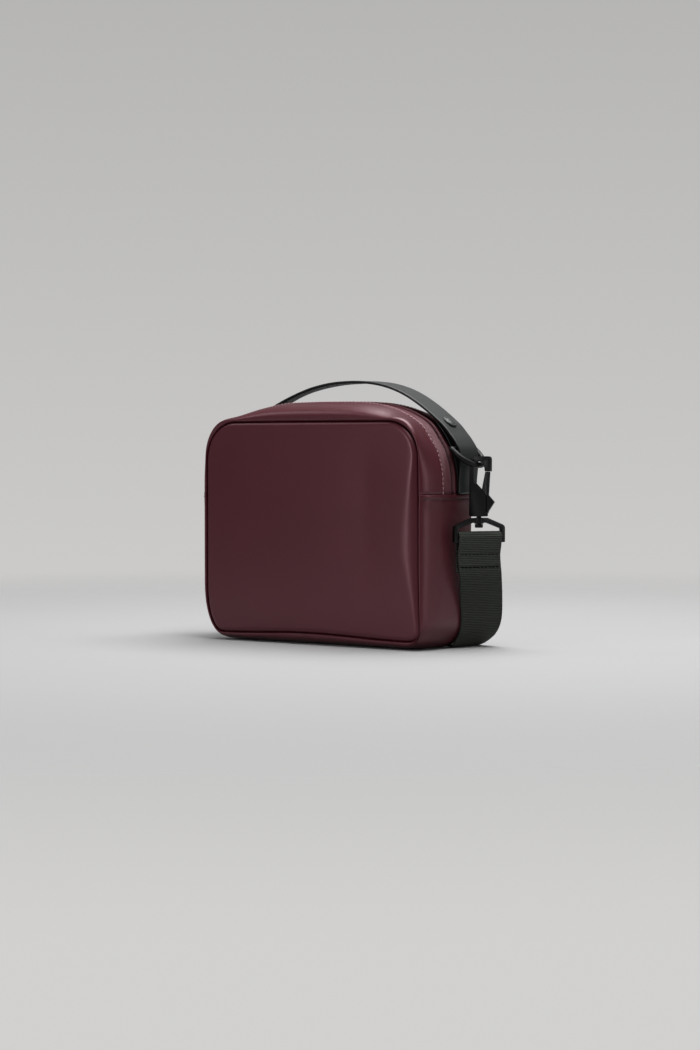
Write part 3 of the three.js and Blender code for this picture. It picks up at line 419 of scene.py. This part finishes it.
def panel(name, side, wide_roll):
    """A panel from rings that follow its seam and a grid inside the last ring, then given its thickness."""
    loop = lambda inset: np.vstack([seam_half(inset, 1), seam_half(inset, -1)[1:-1][::-1] * (-1, 1)])
    insets = [0.15, 0.3, 0.6, 1.0, 1.6, 2.4, 3.4, 4.6, 6.0, 7.6, 9.4, 11.4, 13.5]
    rings = [loop(i) for i in insets]
    total = len(rings[0])
    low = steps["bottom"] + steps["bottom_corner"] // 2
    high = last_index - steps["top"] - steps["top_corner"] // 2
    inner = rings[-1]
    at = lambda i: inner[i % total]
    columns, lines = 2 * low, high - low
    grid = np.zeros((lines + 1, columns + 1, 2))
    for i in range(columns + 1):
        for j in range(lines + 1):
            s, t = i / columns, j / lines
            bottom, top = at(i - low), at(total // 2 + low - i)
            left, right_edge = at(-low - j), at(low + j)
            corners = (
                (1 - s) * (1 - t) * at(-low) + s * (1 - t) * at(low)
                + (1 - s) * t * at(-low - lines) + s * t * at(low + lines)
            )
            grid[j, i] = (1 - t) * bottom + t * top + (1 - s) * left + s * right_edge - corners
    flat = [tuple(p) for ring in rings for p in ring]
    depth_in = [i for i, ring in zip(insets, rings) for _ in ring]
    faces = []
    for r in range(len(rings) - 1):
        for j in range(total):
            k = (j + 1) % total
            faces.append((r * total + j, r * total + k, (r + 1) * total + k, (r + 1) * total + j))
    base = (len(rings) - 1) * total
    number = -np.ones((lines + 1, columns + 1), int)
    for i in range(columns + 1):
        number[0, i] = base + (i - low) % total
        number[lines, i] = base + (total // 2 + low - i) % total
    for j in range(lines + 1):
        number[j, 0] = base + (-low - j) % total
        number[j, columns] = base + (low + j) % total
    for j in range(1, lines):
        for i in range(1, columns):
            number[j, i] = len(flat)
            flat.append(tuple(grid[j, i]))
            depth_in.append(insets[-1])
    for j in range(lines):
        for i in range(columns):
            faces.append((number[j, i], number[j, i + 1], number[j + 1, i + 1], number[j + 1, i]))
    xz, inset = np.array(flat), np.array(depth_in)
    x, z = xz[:, 0], xz[:, 1]
    bulge = np.clip(1 - (x / 109) ** 2, 0, 1) * np.clip(1 - ((z - 90) / 86) ** 2, 0, 1)
    rightness = np.clip((x - 60) / 40, 0, 1) * np.clip((z - 12) / 60, 0, 1) * np.clip((172 - z) / 40, 0, 1)
    reach = 4 + wide_roll * rightness * np.exp(-(((z - 78) / 42) ** 2))
    roll = np.sqrt(np.clip(1 - (1 - np.clip(inset / reach, 0, 1)) ** 2, 0, 1))
    y = half_depth * 0.945 + (3 + 2.2 * rightness) * roll + dome * bulge**0.8
    y -= 0.5 * np.exp(-((x + 22) ** 2) / 60 - (z - 12) ** 2 / 40)
    points = tapered(np.stack([x, side * y, z], -1))
    points[:, 2] += raise_body
    mesh = bpy.data.meshes.new(name)
    mesh.from_pydata((points / 1000).tolist(), [], [tuple(map(int, f)) for f in faces])
    piece = bpy.data.objects.new(name, mesh)
    bpy.context.collection.objects.link(piece)
    faces_out(piece, (0, side, 0))
    apply(piece, "SUBSURF", levels=1, render_levels=1)
    apply(piece, "SOLIDIFY", thickness=0.0012, offset=-1)
    piece.data.shade_smooth()
    finish(piece, "bag", "coated_fabric", coated, name)


panel("front_panel", -1, 12)
panel("back_panel", 1, 4)

# Upper gussets: one strip on each side of the zip, over the top from side panel to side panel,
# puffed out beside the seam, with its zip edge folded under and stitched down.
# Rows: share of the way from seam to ridge, depth as a share of the half depth, offset and crown.
section = [
    (0.0, 0.92, -0.2, 0), (0.0, 0.94, 0.1, 0.02), (0.012, 0.965, 0.25, 0.08), (0.06, 1.0, 0.3, 0.22),
    (0.18, 1.024, 0.15, 0.55), (0.36, 1.015, 0, 0.88), (0.56, 0.955, 0, 1), (0.76, 0.83, 0, 0.92),
    (0.91, 0.64, 0, 0.6), (0.985, 0.46, 0, 0.22),
]
# One whole share counts as this many millimetres where points are spaced evenly.
share_length = 14


def gusset_half(run, side, end_rows, crowned):
    """Half of a gusset from the seam to the ridge; end rows are share, depth in mm and offset."""
    table = [(s, d * half_depth, o, c) for s, d, o, c in section] + [(s, d, o, 0) for s, d, o in end_rows]
    fine = smooth([(d, s * share_length, o, c) for s, d, o, c in table], 64)
    share, depth, offset, crown = fine[:, 1] / share_length, fine[:, 0], fine[:, 2], fine[:, 3]
    count = len(run[0])
    lift = np.broadcast_to(offset, (count, len(fine))) + crowned * run[3][:, None] * crown
    return body_points(run, np.broadcast_to(share, lift.shape), lift, side * depth)


# How far the strips' ends reach behind the hem, and how far from the zip's middle the fold is stitched.
under_hem, stitch_depth = 0.5, 12.85


def upper_run():
    """Stations over the top, their two ends a little under the side panels' folded edges."""
    run = stations(side_top_index, last_index, True)
    run[0][0, 1] -= under_hem
    run[0][-1, 1] -= under_hem
    return run


def upper_gusset(name, side):
    """An upper gusset with its folded zip edge, and the row of stitches that holds the fold down."""
    run = upper_run()
    fold = [
        (1, 15, 0), (1, 13.9, 0.1), (1, 13.3, 0), (1, 12.8, -0.05), (1, 12.3, 0.35), (1, 11.9, 0.5),
        (1, 11.5, 0.3), (1, 11.3, -0.2), (1, 11.4, -0.8), (1, 12.2, -1.3),
    ]
    on_ridge, just_proud = np.ones((len(run[0]), 1)), np.full((len(run[0]), 1), 0.05)
    row = body_points(run, on_ridge, just_proud, side * stitch_depth)[:, 0]
    outward = np.insert(run[2], 1, 0, axis=1)
    stitches(name + "_stitches", row, outward, "coated_fabric", thread)
    piece = skin(name, gusset_half(run, side, fold, 1 if side < 0 else 0), outward=(0, side, 0))
    apply(piece, "SUBSURF", levels=1, render_levels=1)
    apply(piece, "SOLIDIFY", thickness=0.0009, offset=-1)
    finish(piece, "bag", "coated_fabric", coated, name)


upper_gusset("front_gusset", -1)
upper_gusset("rear_gusset", 1)

# Lower gusset: one strip that makes both side panels and the bottom. Its top edges are folded over,
# stand a little proud and are stitched across.
low_run = stations(0, side_top_index, False)
# Rows: drop below the side panel's top and how far the fold stands proud there.
hem = [(0, 0.35), (0.25, 0.7), (1, 0.85), (2.4, 0.8), (3.5, 0.4), (4.6, 0.6), (7, 0.4), (10, 0.12), (13, 0)]
hem_height = 14.5
keep = [i for i, (_, z) in enumerate(low_run[0]) if z < side_top - hem_height]
merged = []
for k, part in enumerate(low_run):
    ends = [np.repeat(part[end][None], len(hem), 0) for end in (0, -1)]
    if k == 0:
        for end in ends:
            end[:, 1] -= [drop for drop, _ in hem]
    merged.append(np.concatenate([ends[0], part[keep], ends[1][::-1]]))
raised = np.r_[[r for _, r in hem], np.zeros(len(keep)), [r for _, r in hem][::-1]]
to_middle = [(1, 12, 0), (1, 8, 0), (1, 4, 0), (1, 0, 0)]
front_half, rear_half = (
    gusset_half([*merged[:3], np.zeros(len(raised))], side, to_middle, 0) for side in (-1, 1)
)
grid = np.concatenate([front_half, rear_half[:, ::-1][:, 1:]], 1)
inward_of_seam = np.clip((half_depth + 3 - abs(grid[..., 1])) / 7, 0, 1)
grid[..., 0] += np.sign(grid[..., 0]) * raised[:, None] * inward_of_seam
# The hem's stitches are real, but their near-black colour is painted shade for the holes they sit in along
# the fold.
hem_stitch_hole_shade = material("hem_stitch_hole_shade", (0.008, 0.002, 0.003), 0.6)
for side, row, name in ((1, 4, "right_hem_stitches"), (-1, len(grid) - 5, "left_hem_stitches")):
    line = grid[row][6:-6]
    stitches(name, line, np.repeat([(side, 0, 0)], len(line), 0), "coated_fabric", hem_stitch_hole_shade, 3.4, 2.2, 1.0)
piece = skin("lower_gusset", grid, outward=(0, 0, -1))
apply(piece, "SUBSURF", levels=1, render_levels=1)
apply(piece, "SOLIDIFY", thickness=0.0012, offset=-1)
finish(piece, "bag", "coated_fabric", coated, "lower_gusset")

# Zip: two woven tapes that meet in the middle, each with a raised lip that hides the coil.
# They run under the gussets' folded edges.
tape = material("zip_tape", (0.078, 0.015, 0.022), 0.55, **{"Specular Tint": (1, 0.75, 0.8, 1)})
_, new, link, shader = tape
where, mapping, weave, bump = (
    new("ShaderNodeUVMap"), new("ShaderNodeMapping"), new("ShaderNodeTexWave"), new("ShaderNodeBump"),
)
where.uv_map = "cloth"
mapping.inputs["Rotation"].default_value = (0, 0, math.radians(38))
weave.inputs["Scale"].default_value = 330
weave.inputs["Distortion"].default_value = 0.6
bump.inputs["Strength"].default_value = 0.9
bump.inputs["Distance"].default_value = 0.0003
link(where.outputs["UV"], mapping.inputs["Vector"])
link(mapping.outputs["Vector"], weave.inputs["Vector"])
link(weave.outputs["Fac"], bump.inputs["Height"])
link(bump.outputs["Normal"], shader.inputs["Normal"])

top_run = upper_run()


def along_ridge(name, rows, outward):
    """A strip along the ridge; rows are offset from the ridge and depth, in millimetres."""
    rows = np.array(rows, float)
    offset = np.broadcast_to(rows[:, 0], (len(top_run[0]), len(rows)))
    return skin(name, body_points(top_run, np.ones_like(offset), offset, rows[:, 1]), outward=outward)


for name, side, lip in (("front_zip_tape", -1, 0), ("rear_zip_tape", 1, 1.1)):
    rows = [
        (-2.6, 15.4), (-2.0, 13), (-1.6, 11.6), (-1.1, 10.6), (-0.8, 9.4), (-0.7, 6), (-0.65, 3.8),
        (-0.6, 2.9), (-0.45 + lip, 2.6), (-0.3 + lip, 2.1), (-0.35 + lip, 1.6), (-0.8 + lip * 0.5, 1.1),
        (-2.2, 0.9),
    ]
    piece = along_ridge(name, [(o, side * d) for o, d in rows], (0, 0, 1))
    apply(piece, "SUBSURF", levels=1, render_levels=1)
    apply(piece, "SOLIDIFY", thickness=0.0006, offset=-1)
    finish(piece, "bag", "zip_tape", tape, name)

# Zip coil: the closed plastic coil sewn behind the tapes' meeting edges. Its solid has the right shape,
# so it stays and only gets its dull finish.
coil = material("zip_coil", (0.02, 0.01, 0.012), 0.5)
grain(coil, 500, 0.3, 0.0002)
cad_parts["zip_coil"].data.materials.clear()
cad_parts["zip_coil"].data.materials.append(coil[0])

# Zip slider: a small cast block, coated black, that sits on the closed coil at the zip's left end.
# The same satin black finish is on all the metal fittings.
metal = material("black_metal", (0.003, 0.0032, 0.003), 0.4, **{"Specular IOR Level": 0.22})
grain(metal, 700, 0.05, 0.0001)


def from_cad(node, width, segments=2, angle=30):
    """A merged, bevelled copy of a hard CAD node, to stand for it."""
    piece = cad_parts[node].copy()
    piece.data = piece.data.copy()
    piece.parent = None
    for key in list(piece.keys()):
        del piece[key]
    piece.name = node + "_finished"
    bpy.context.collection.objects.link(piece)
    bpy.ops.object.select_all(action="DESELECT")
    bpy.context.view_layer.objects.active = piece
    piece.select_set(True)
    bpy.ops.object.mode_set(mode="EDIT")
    bpy.ops.mesh.select_all(action="SELECT")
    bpy.ops.mesh.remove_doubles(threshold=2e-6)
    bpy.ops.mesh.dissolve_limited(angle_limit=math.radians(1))
    bpy.ops.object.mode_set(mode="OBJECT")
    apply(piece, "BEVEL", width=width, segments=segments, limit_method="ANGLE",
          angle_limit=math.radians(angle), harden_normals=False)
    bpy.ops.object.shade_smooth_by_angle(angle=math.radians(40))
    return piece


finish(from_cad("zip_slider", 0.0004), "bag", "black_metal", metal, "zip_slider")

# Handle: a flat coated strap over the whole top, sewn in behind the side panels' folded edges.
# Its left half is twisted a little, so that the rear edge stands higher.
leather = material("coated_strap", (0.014, 0.017, 0.0165), 0.4)
grain(leather, 800, 0.12, 0.0001)
grain(leather, 90, 0.1, 0.0004, detail=1)
strap_x, end_z = 117.2, 118.5
handle_near, handle_width, handle_thick = 4, 23.5, 2
# Rows: x, z and how much higher the rear edge stands than the front one.
handle_line = [
    (-strap_x, end_z, 0), (-117.25, 128, 0), (-118.3, 138, 0), (-118.7, 146, 0), (-117.7, 152.2, 0),
    (-113.2, 159.2, 0), (-107.6, 165.4, 0.2), (-99.6, 172.8, 0.8), (-89.6, 179.6, 2.2), (-80.2, 184.9, 3.6),
    (-70.4, 189.6, 4.4), (-60.4, 193.9, 4.4), (-49.6, 197.7, 3.8), (-39.7, 200.5, 2.8), (-29.8, 202.8, 1.8),
    (-15, 205.1, 0.8), (0, 206.2, 0.2), (20, 206.2, 0), (41, 203.6, 0), (61, 197.4, 0), (80.5, 187, 0),
    (99.8, 173.3, 0), (108.1, 165.2, 0), (113.6, 159, 0), (117.9, 152.4, 0), (118.7, 146, 0), (118.3, 138, 0),
    (117.25, 128, 0), (strap_x, end_z, 0),
]


def strap_rings(line, section_rows, near_y, width):
    """Sections along x, z, rise rows; section rows are across (-1 to 1) and out, in millimetres."""
    line = np.array(line)
    centre = np.stack([line[:, 0], np.full(len(line), near_y + width / 2), line[:, 1]], -1)
    tangent = np.gradient(centre, axis=0)
    tangent /= np.linalg.norm(tangent, axis=1)[:, None]
    across = np.stack([np.zeros(len(line)), np.sqrt(width**2 - line[:, 2] ** 2), line[:, 2]], -1) / 2
    normal = np.cross(across, tangent)
    normal /= -np.linalg.norm(normal, axis=1)[:, None]
    rows = np.array(section_rows)
    return centre[:, None] + across[:, None] * rows[None, :, :1] + normal[:, None] * rows[None, :, 1:]


def band(half, edge, thick):
    """Section of a band with rounded edges: across as a share of its half width, and out."""
    top = [
        (-1, 0), (-1 + edge * 0.12, thick * 0.3), (-1 + edge * 0.45, thick * 0.44),
        (-1 + edge, thick * 0.5),
    ]
    flat = [(s, thick * 0.5) for s in np.linspace(-1 + 2 * edge, 1 - 2 * edge, 7)]
    upper = top + flat + [(-a, o) for a, o in top[::-1]]
    return upper + [(a, -o) for a, o in upper[::-1][1:-1]]


# Near-black finish for the strap's cut edges, which stands for edge paint, and for its whole underside, where
# it is painted shade.
dark_edges_and_underside_shade = material("strap_edge_paint_and_underside_shade", (0.005, 0.0055, 0.0055), 0.6, **{"Specular IOR Level": 0.25})


def darken_edges_and_underside(piece, section_points):
    """Gives a strap near-black cut edges, standing for edge paint, and a near-black underside that is painted
    shade: all but the top's middle faces.
    """
    piece.data.materials.append(dark_edges_and_underside_shade[0])
    for face in piece.data.polygons[:-2]:
        face.material_index = 0 if 2 <= face.index % section_points <= 11 else 1


handle_fine = smooth(handle_line, 220)
handle_section = band(handle_width, 0.05, handle_thick)
rings = strap_rings(handle_fine, handle_section, handle_near, handle_width)
piece = skin("handle", rings, closed=True)
finish(piece, "bag", "coated_strap", leather, "handle")
darken_edges_and_underside(piece, len(handle_section))

# Ring tabs: a second, thinner layer of the same strap under each end of the handle. It is sewn in with
# the handle's end, and traps the D-ring's bar between itself and the handle.
shoulder_x, shoulder_z, tab_radius = 52, 127, 63.75
tab_near, tab_width, tab_thick = 5, 21.5, 1
for side, name in ((1, "right_ring_tab"), (-1, "left_ring_tab")):
    arc = [(shoulder_x + tab_radius * math.cos(a), shoulder_z + tab_radius * math.sin(a), 0)
           for a in np.radians(np.linspace(0, 45.6, 12))]
    line = smooth([(shoulder_x + tab_radius, end_z, 0), *arc], 50) * (side, 1, 1)
    rings = strap_rings(line, band(tab_width, 0.04, tab_thick), tab_near, tab_width)
    piece = skin(name, rings, closed=True)
    finish(piece, "bag", "coated_strap", leather, name)

# Snap buttons: a shallow pressed metal cap with a rim, set through the handle and the ring tab, one on
# each side. Rows give how far each ring of the cap is drawn in and raised, in metres.
cap = material("snap_cap", (0.03, 0.033, 0.033), 0.34)
cap_radius = 0.0058
cap_rows = (
    (0, 0.0008), (0.0003, 0.0004), (0.0005, 0.0001), (0.0006, -0.00025), (0.0007, 0.0003),
    (0.001, 0.0002), (0.0014, 0.0001),
)
grain(cap, 600, 0.08, 0.0001)
for side, name in ((1, "right_snap"), (-1, "left_snap")):
    low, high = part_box(name)
    middle = (low + high) / 2
    away = handle_fine[:, :2] + (0, raise_body) - (middle.x * 1000, middle.z * 1000)
    nearest = int(np.argmin(np.linalg.norm(away, axis=1)))
    ring = strap_rings(handle_fine, [(0, 0), (0, 1)], handle_near, handle_width)[nearest]
    out = Vector(ring[1] - ring[0]).normalized()
    foot = Vector((ring[0] + (0, 0, raise_body)) / 1000) + out * 0.00115
    bpy.ops.mesh.primitive_circle_add(vertices=48, radius=cap_radius, fill_type="NGON", location=(0, 0, 0))
    piece = bpy.context.active_object
    piece.name = name + "_finished"
    bpy.ops.object.mode_set(mode="EDIT")
    for inset, lift in cap_rows:
        if inset:
            bpy.ops.mesh.inset(thickness=inset)
            bpy.ops.transform.translate(value=(0, 0, lift))
        else:
            bpy.ops.mesh.extrude_region_move(TRANSFORM_OT_translate={"value": (0, 0, lift)})
    bpy.ops.mesh.select_all(action="SELECT")
    bpy.ops.mesh.normals_make_consistent(inside=False)
    bpy.ops.object.mode_set(mode="OBJECT")
    piece.data.transform(Matrix.Translation(foot) @ out.to_track_quat("Z", "Y").to_matrix().to_4x4())
    piece.data.shade_smooth()
    finish(piece, "bag", "black_metal", cap, name)

# D-rings: round metal rod, coated black, bent into a bow with a straight bar. The bar is trapped under
# the handle, and the bow leans out and down with the hook's weight.
ring_bar, ring_foot = np.array((113.26, 153.02)), np.array((128.0, 140.7))
ring_middle, ring_half_width, rod_radius, squareness = 15.8, 14.9, 0.0023, 2.4
for side, name in ((1, "right_d_ring"), (-1, "left_d_ring")):
    lean = ring_foot - ring_bar
    outline = []
    for i in range(65):
        a = math.pi * (1 - i / 64)
        c, s = math.cos(a), math.sin(a)
        y = ring_middle + math.copysign(abs(c) ** (2 / squareness), c) * ring_half_width
        x, z = ring_bar + lean * abs(s) ** (2 / squareness)
        outline.append((side * x, y, z + raise_body))
    for i in range(1, 12):
        y = ring_middle + ring_half_width * (1 - i / 6)
        outline.append((side * ring_bar[0], y, ring_bar[1] + raise_body))
    curve = bpy.data.curves.new(name + "_finished", "CURVE")
    curve.dimensions = "3D"
    curve.bevel_depth = rod_radius
    curve.bevel_resolution = 5
    spline = curve.splines.new("POLY")
    spline.points.add(len(outline) - 1)
    for point, place in zip(spline.points, outline):
        point.co = (*(c / 1000 for c in place), 1)
    spline.use_cyclic_u = True
    piece = bpy.data.objects.new(name + "_finished", curve)
    bpy.context.collection.objects.link(piece)
    bpy.ops.object.select_all(action="DESELECT")
    bpy.context.view_layer.objects.active = piece
    piece.select_set(True)
    bpy.ops.object.convert(target="MESH")
    piece = bpy.context.active_object
    faces_out(piece, None)
    piece.data.shade_smooth()
    finish(piece, "bag", "black_metal", metal, name)

# Snap hooks: a flat slotted body with a square-cornered nose, and a sprung gate that turns on a pin
# between its two cheeks. A swivel post joins each hook to its strap bracket.
for side in ("right", "left"):
    finish(from_cad(side + "_hook_body", 0.00035), "bag", "black_metal", metal, side + "_hook_body")
    gate = from_cad(side + "_gate", 0.0003)
    tip = max(v.co.z for v in gate.data.vertices)
    for v in gate.data.vertices:
        v.co.z += 0.0004 * max(0, (v.co.z - tip + 0.004) / 0.004)
    finish(gate, side + "_gate", "black_metal", metal, side + "_gate")
    finish(from_cad(side + "_swivel", 0.0003), "bag", "black_metal", metal, side + "_swivel")
    finish(from_cad(side + "_bracket", 0.0004), "bag", "black_metal", metal, side + "_bracket")

# Shoulder strap: one length of ribbed webbing from bracket to bracket, its ends turned round the bars
# and sewn down with two rows of dark thread. Its middle lies on the floor behind the bag.
rib_scale = 225
webbing = material("webbing", (0.022, 0.0245, 0.0225), 0.75, **{"Specular IOR Level": 0.3})
_, new, link, shader = webbing
where, split, wave, fleck, add, bump, ramp = (
    new("ShaderNodeUVMap"), new("ShaderNodeMapping"), new("ShaderNodeTexWave"), new("ShaderNodeTexNoise"),
    new("ShaderNodeMath"), new("ShaderNodeBump"), new("ShaderNodeValToRGB"),
)
where.uv_map = "cloth"
wave.bands_direction = "X"
wave.inputs["Scale"].default_value = rib_scale
wave.inputs["Distortion"].default_value = 0.25
wave.inputs["Detail Scale"].default_value = 30
split.inputs["Scale"].default_value = (1, 0.15, 1)
fleck.inputs["Scale"].default_value = 1800
add.operation = "MULTIPLY_ADD"
add.inputs[1].default_value = 0.35
bump.inputs["Strength"].default_value = 0.8
bump.inputs["Distance"].default_value = 0.0004
# The colour follows the ribs: near-black in the grooves and lighter on the crests, as painted shade and
# painted light. The noise fleck over it is the yarn's own random tone.
ramp.color_ramp.elements[0].color = (0.005, 0.0056, 0.0046, 1)
ramp.color_ramp.elements[1].color = (0.041, 0.046, 0.037, 1)
link(where.outputs["UV"], wave.inputs["Vector"])
link(where.outputs["UV"], split.inputs["Vector"])
link(split.outputs["Vector"], fleck.inputs["Vector"])
link(fleck.outputs["Fac"], add.inputs[0])
link(wave.outputs["Fac"], add.inputs[2])
link(add.outputs["Value"], bump.inputs["Height"])
link(add.outputs["Value"], ramp.inputs["Fac"])
link(ramp.outputs["Color"], shader.inputs["Base Color"])
link(bump.outputs["Normal"], shader.inputs["Normal"])

dark_thread = material("dark_thread", (0.0008, 0.0008, 0.0008), 0.7, **{"Specular IOR Level": 0.1})
hook_x, hook_y, bar_z, strap_turn, strap_thick, strap_width = 129, 15, 86, 66, 1.6, 37.6
# On the floor the strap's middle lies at floor_share of its thickness, so that its ribs just touch.
bar_radius, bar_gap, floor_share = 1.8, 0.3, 0.58
# Rows: x, y, z and the strap's turn about the upright in degrees.
path = [
    (128.8, 17.4, 56, 66), (124.7, 24.2, 36, 66), (121.7, 28.2, 20, 70), (117.7, 29, 9.5, 76),
    (110.9, 29.2, 2.6, 84), (103.4, 32.4, -0.5, 90), (93.4, 39.4, -0.5, 94), (78, 45.6, -0.5, 93),
    (60, 46.8, -0.5, 91), (30, 47, -0.5, 90), (0, 47, -0.5, 90),
]
out_x, out_y = math.sin(math.radians(strap_turn)), -math.cos(math.radians(strap_turn))
near_bar = lambda off, z: (hook_x + out_x * off, hook_y + out_y * off, z, strap_turn)
around = bar_radius + bar_gap + strap_thick / 2
rows = [near_bar(-2.5, 58), near_bar(-2.6, 66), near_bar(-2.8, 76), near_bar(-around, bar_z - 2)]
rows += [near_bar(math.cos(a) * around, bar_z + math.sin(a) * around) for a in np.linspace(math.pi, 0, 9)]
rows += [near_bar(2.0, 79), near_bar(0.4, 70)]
half = smooth(rows + path, 692)
half[:, 2] = np.maximum(half[:, 2], strap_thick * floor_share - raise_body)
whole = np.vstack([half, half[:-1][::-1] * (-1, 1, 1, -1) + (0, 0, 0, 180)])
tangent = np.gradient(whole[:, :3], axis=0)
tangent /= np.linalg.norm(tangent, axis=1)[:, None]
width = np.stack([np.cos(np.radians(whole[:, 3])), np.sin(np.radians(whole[:, 3])), np.zeros(len(whole))], -1)
normal = np.cross(width, tangent)
normal /= np.linalg.norm(normal, axis=1)[:, None]
edge = np.array(band(strap_width, 0.04, strap_thick))
run = np.r_[0, np.cumsum(np.linalg.norm(np.diff(whole[:, :3], axis=0), axis=1))] / 1000
# Height of each stitch row and how far its thread pulls the ribs in there.
pull = {62: 0.65, 72: 0.2}
past_bar = 106
sewn = sum(depth * np.exp(-(((whole[:, 2] - z) / 0.8) ** 2)) for z, depth in pull.items())
fullness = 1 - 0.16 * np.cos(20 * rib_scale * run) - sewn
grid = (
    whole[:, None, :3]
    + width[:, None] * edge[None, :, :1] * strap_width / 2
    + normal[:, None] * edge[None, :, 1:] * fullness[:, None, None]
)
for z, name, thick in ((62, "stitch_row", 1.1), (72, "upper_stitch_row", 0.7)):
    for side, label in ((1, "right"), (-1, "left")):
        hanging = range(past_bar, len(whole) // 2)
        down = [i for i in hanging if whole[i, 0] > 128 and whole[i, 2] < z + 20]
        i = min(down, key=lambda k: abs(whole[k, 2] - z))
        out = normal[i] * (1 if normal[i] @ (out_x, out_y, 0) > 0 else -1)
        sunk = whole[i, :3] + out * (strap_thick / 2 - 0.35)
        line = np.array([sunk + width[i] * w for w in np.linspace(-17, 17, 9)])
        line, out = line * (side, 1, 1), out * (side, 1, 1)
        stitches(f"{label}_{name}", line, np.repeat(out[None], 9, 0), "webbing", dark_thread, 3.3, 2.4, thick)
piece = skin("strap", grid, closed=True, along=run)
finish(piece, "bag", "webbing", webbing, "strap")
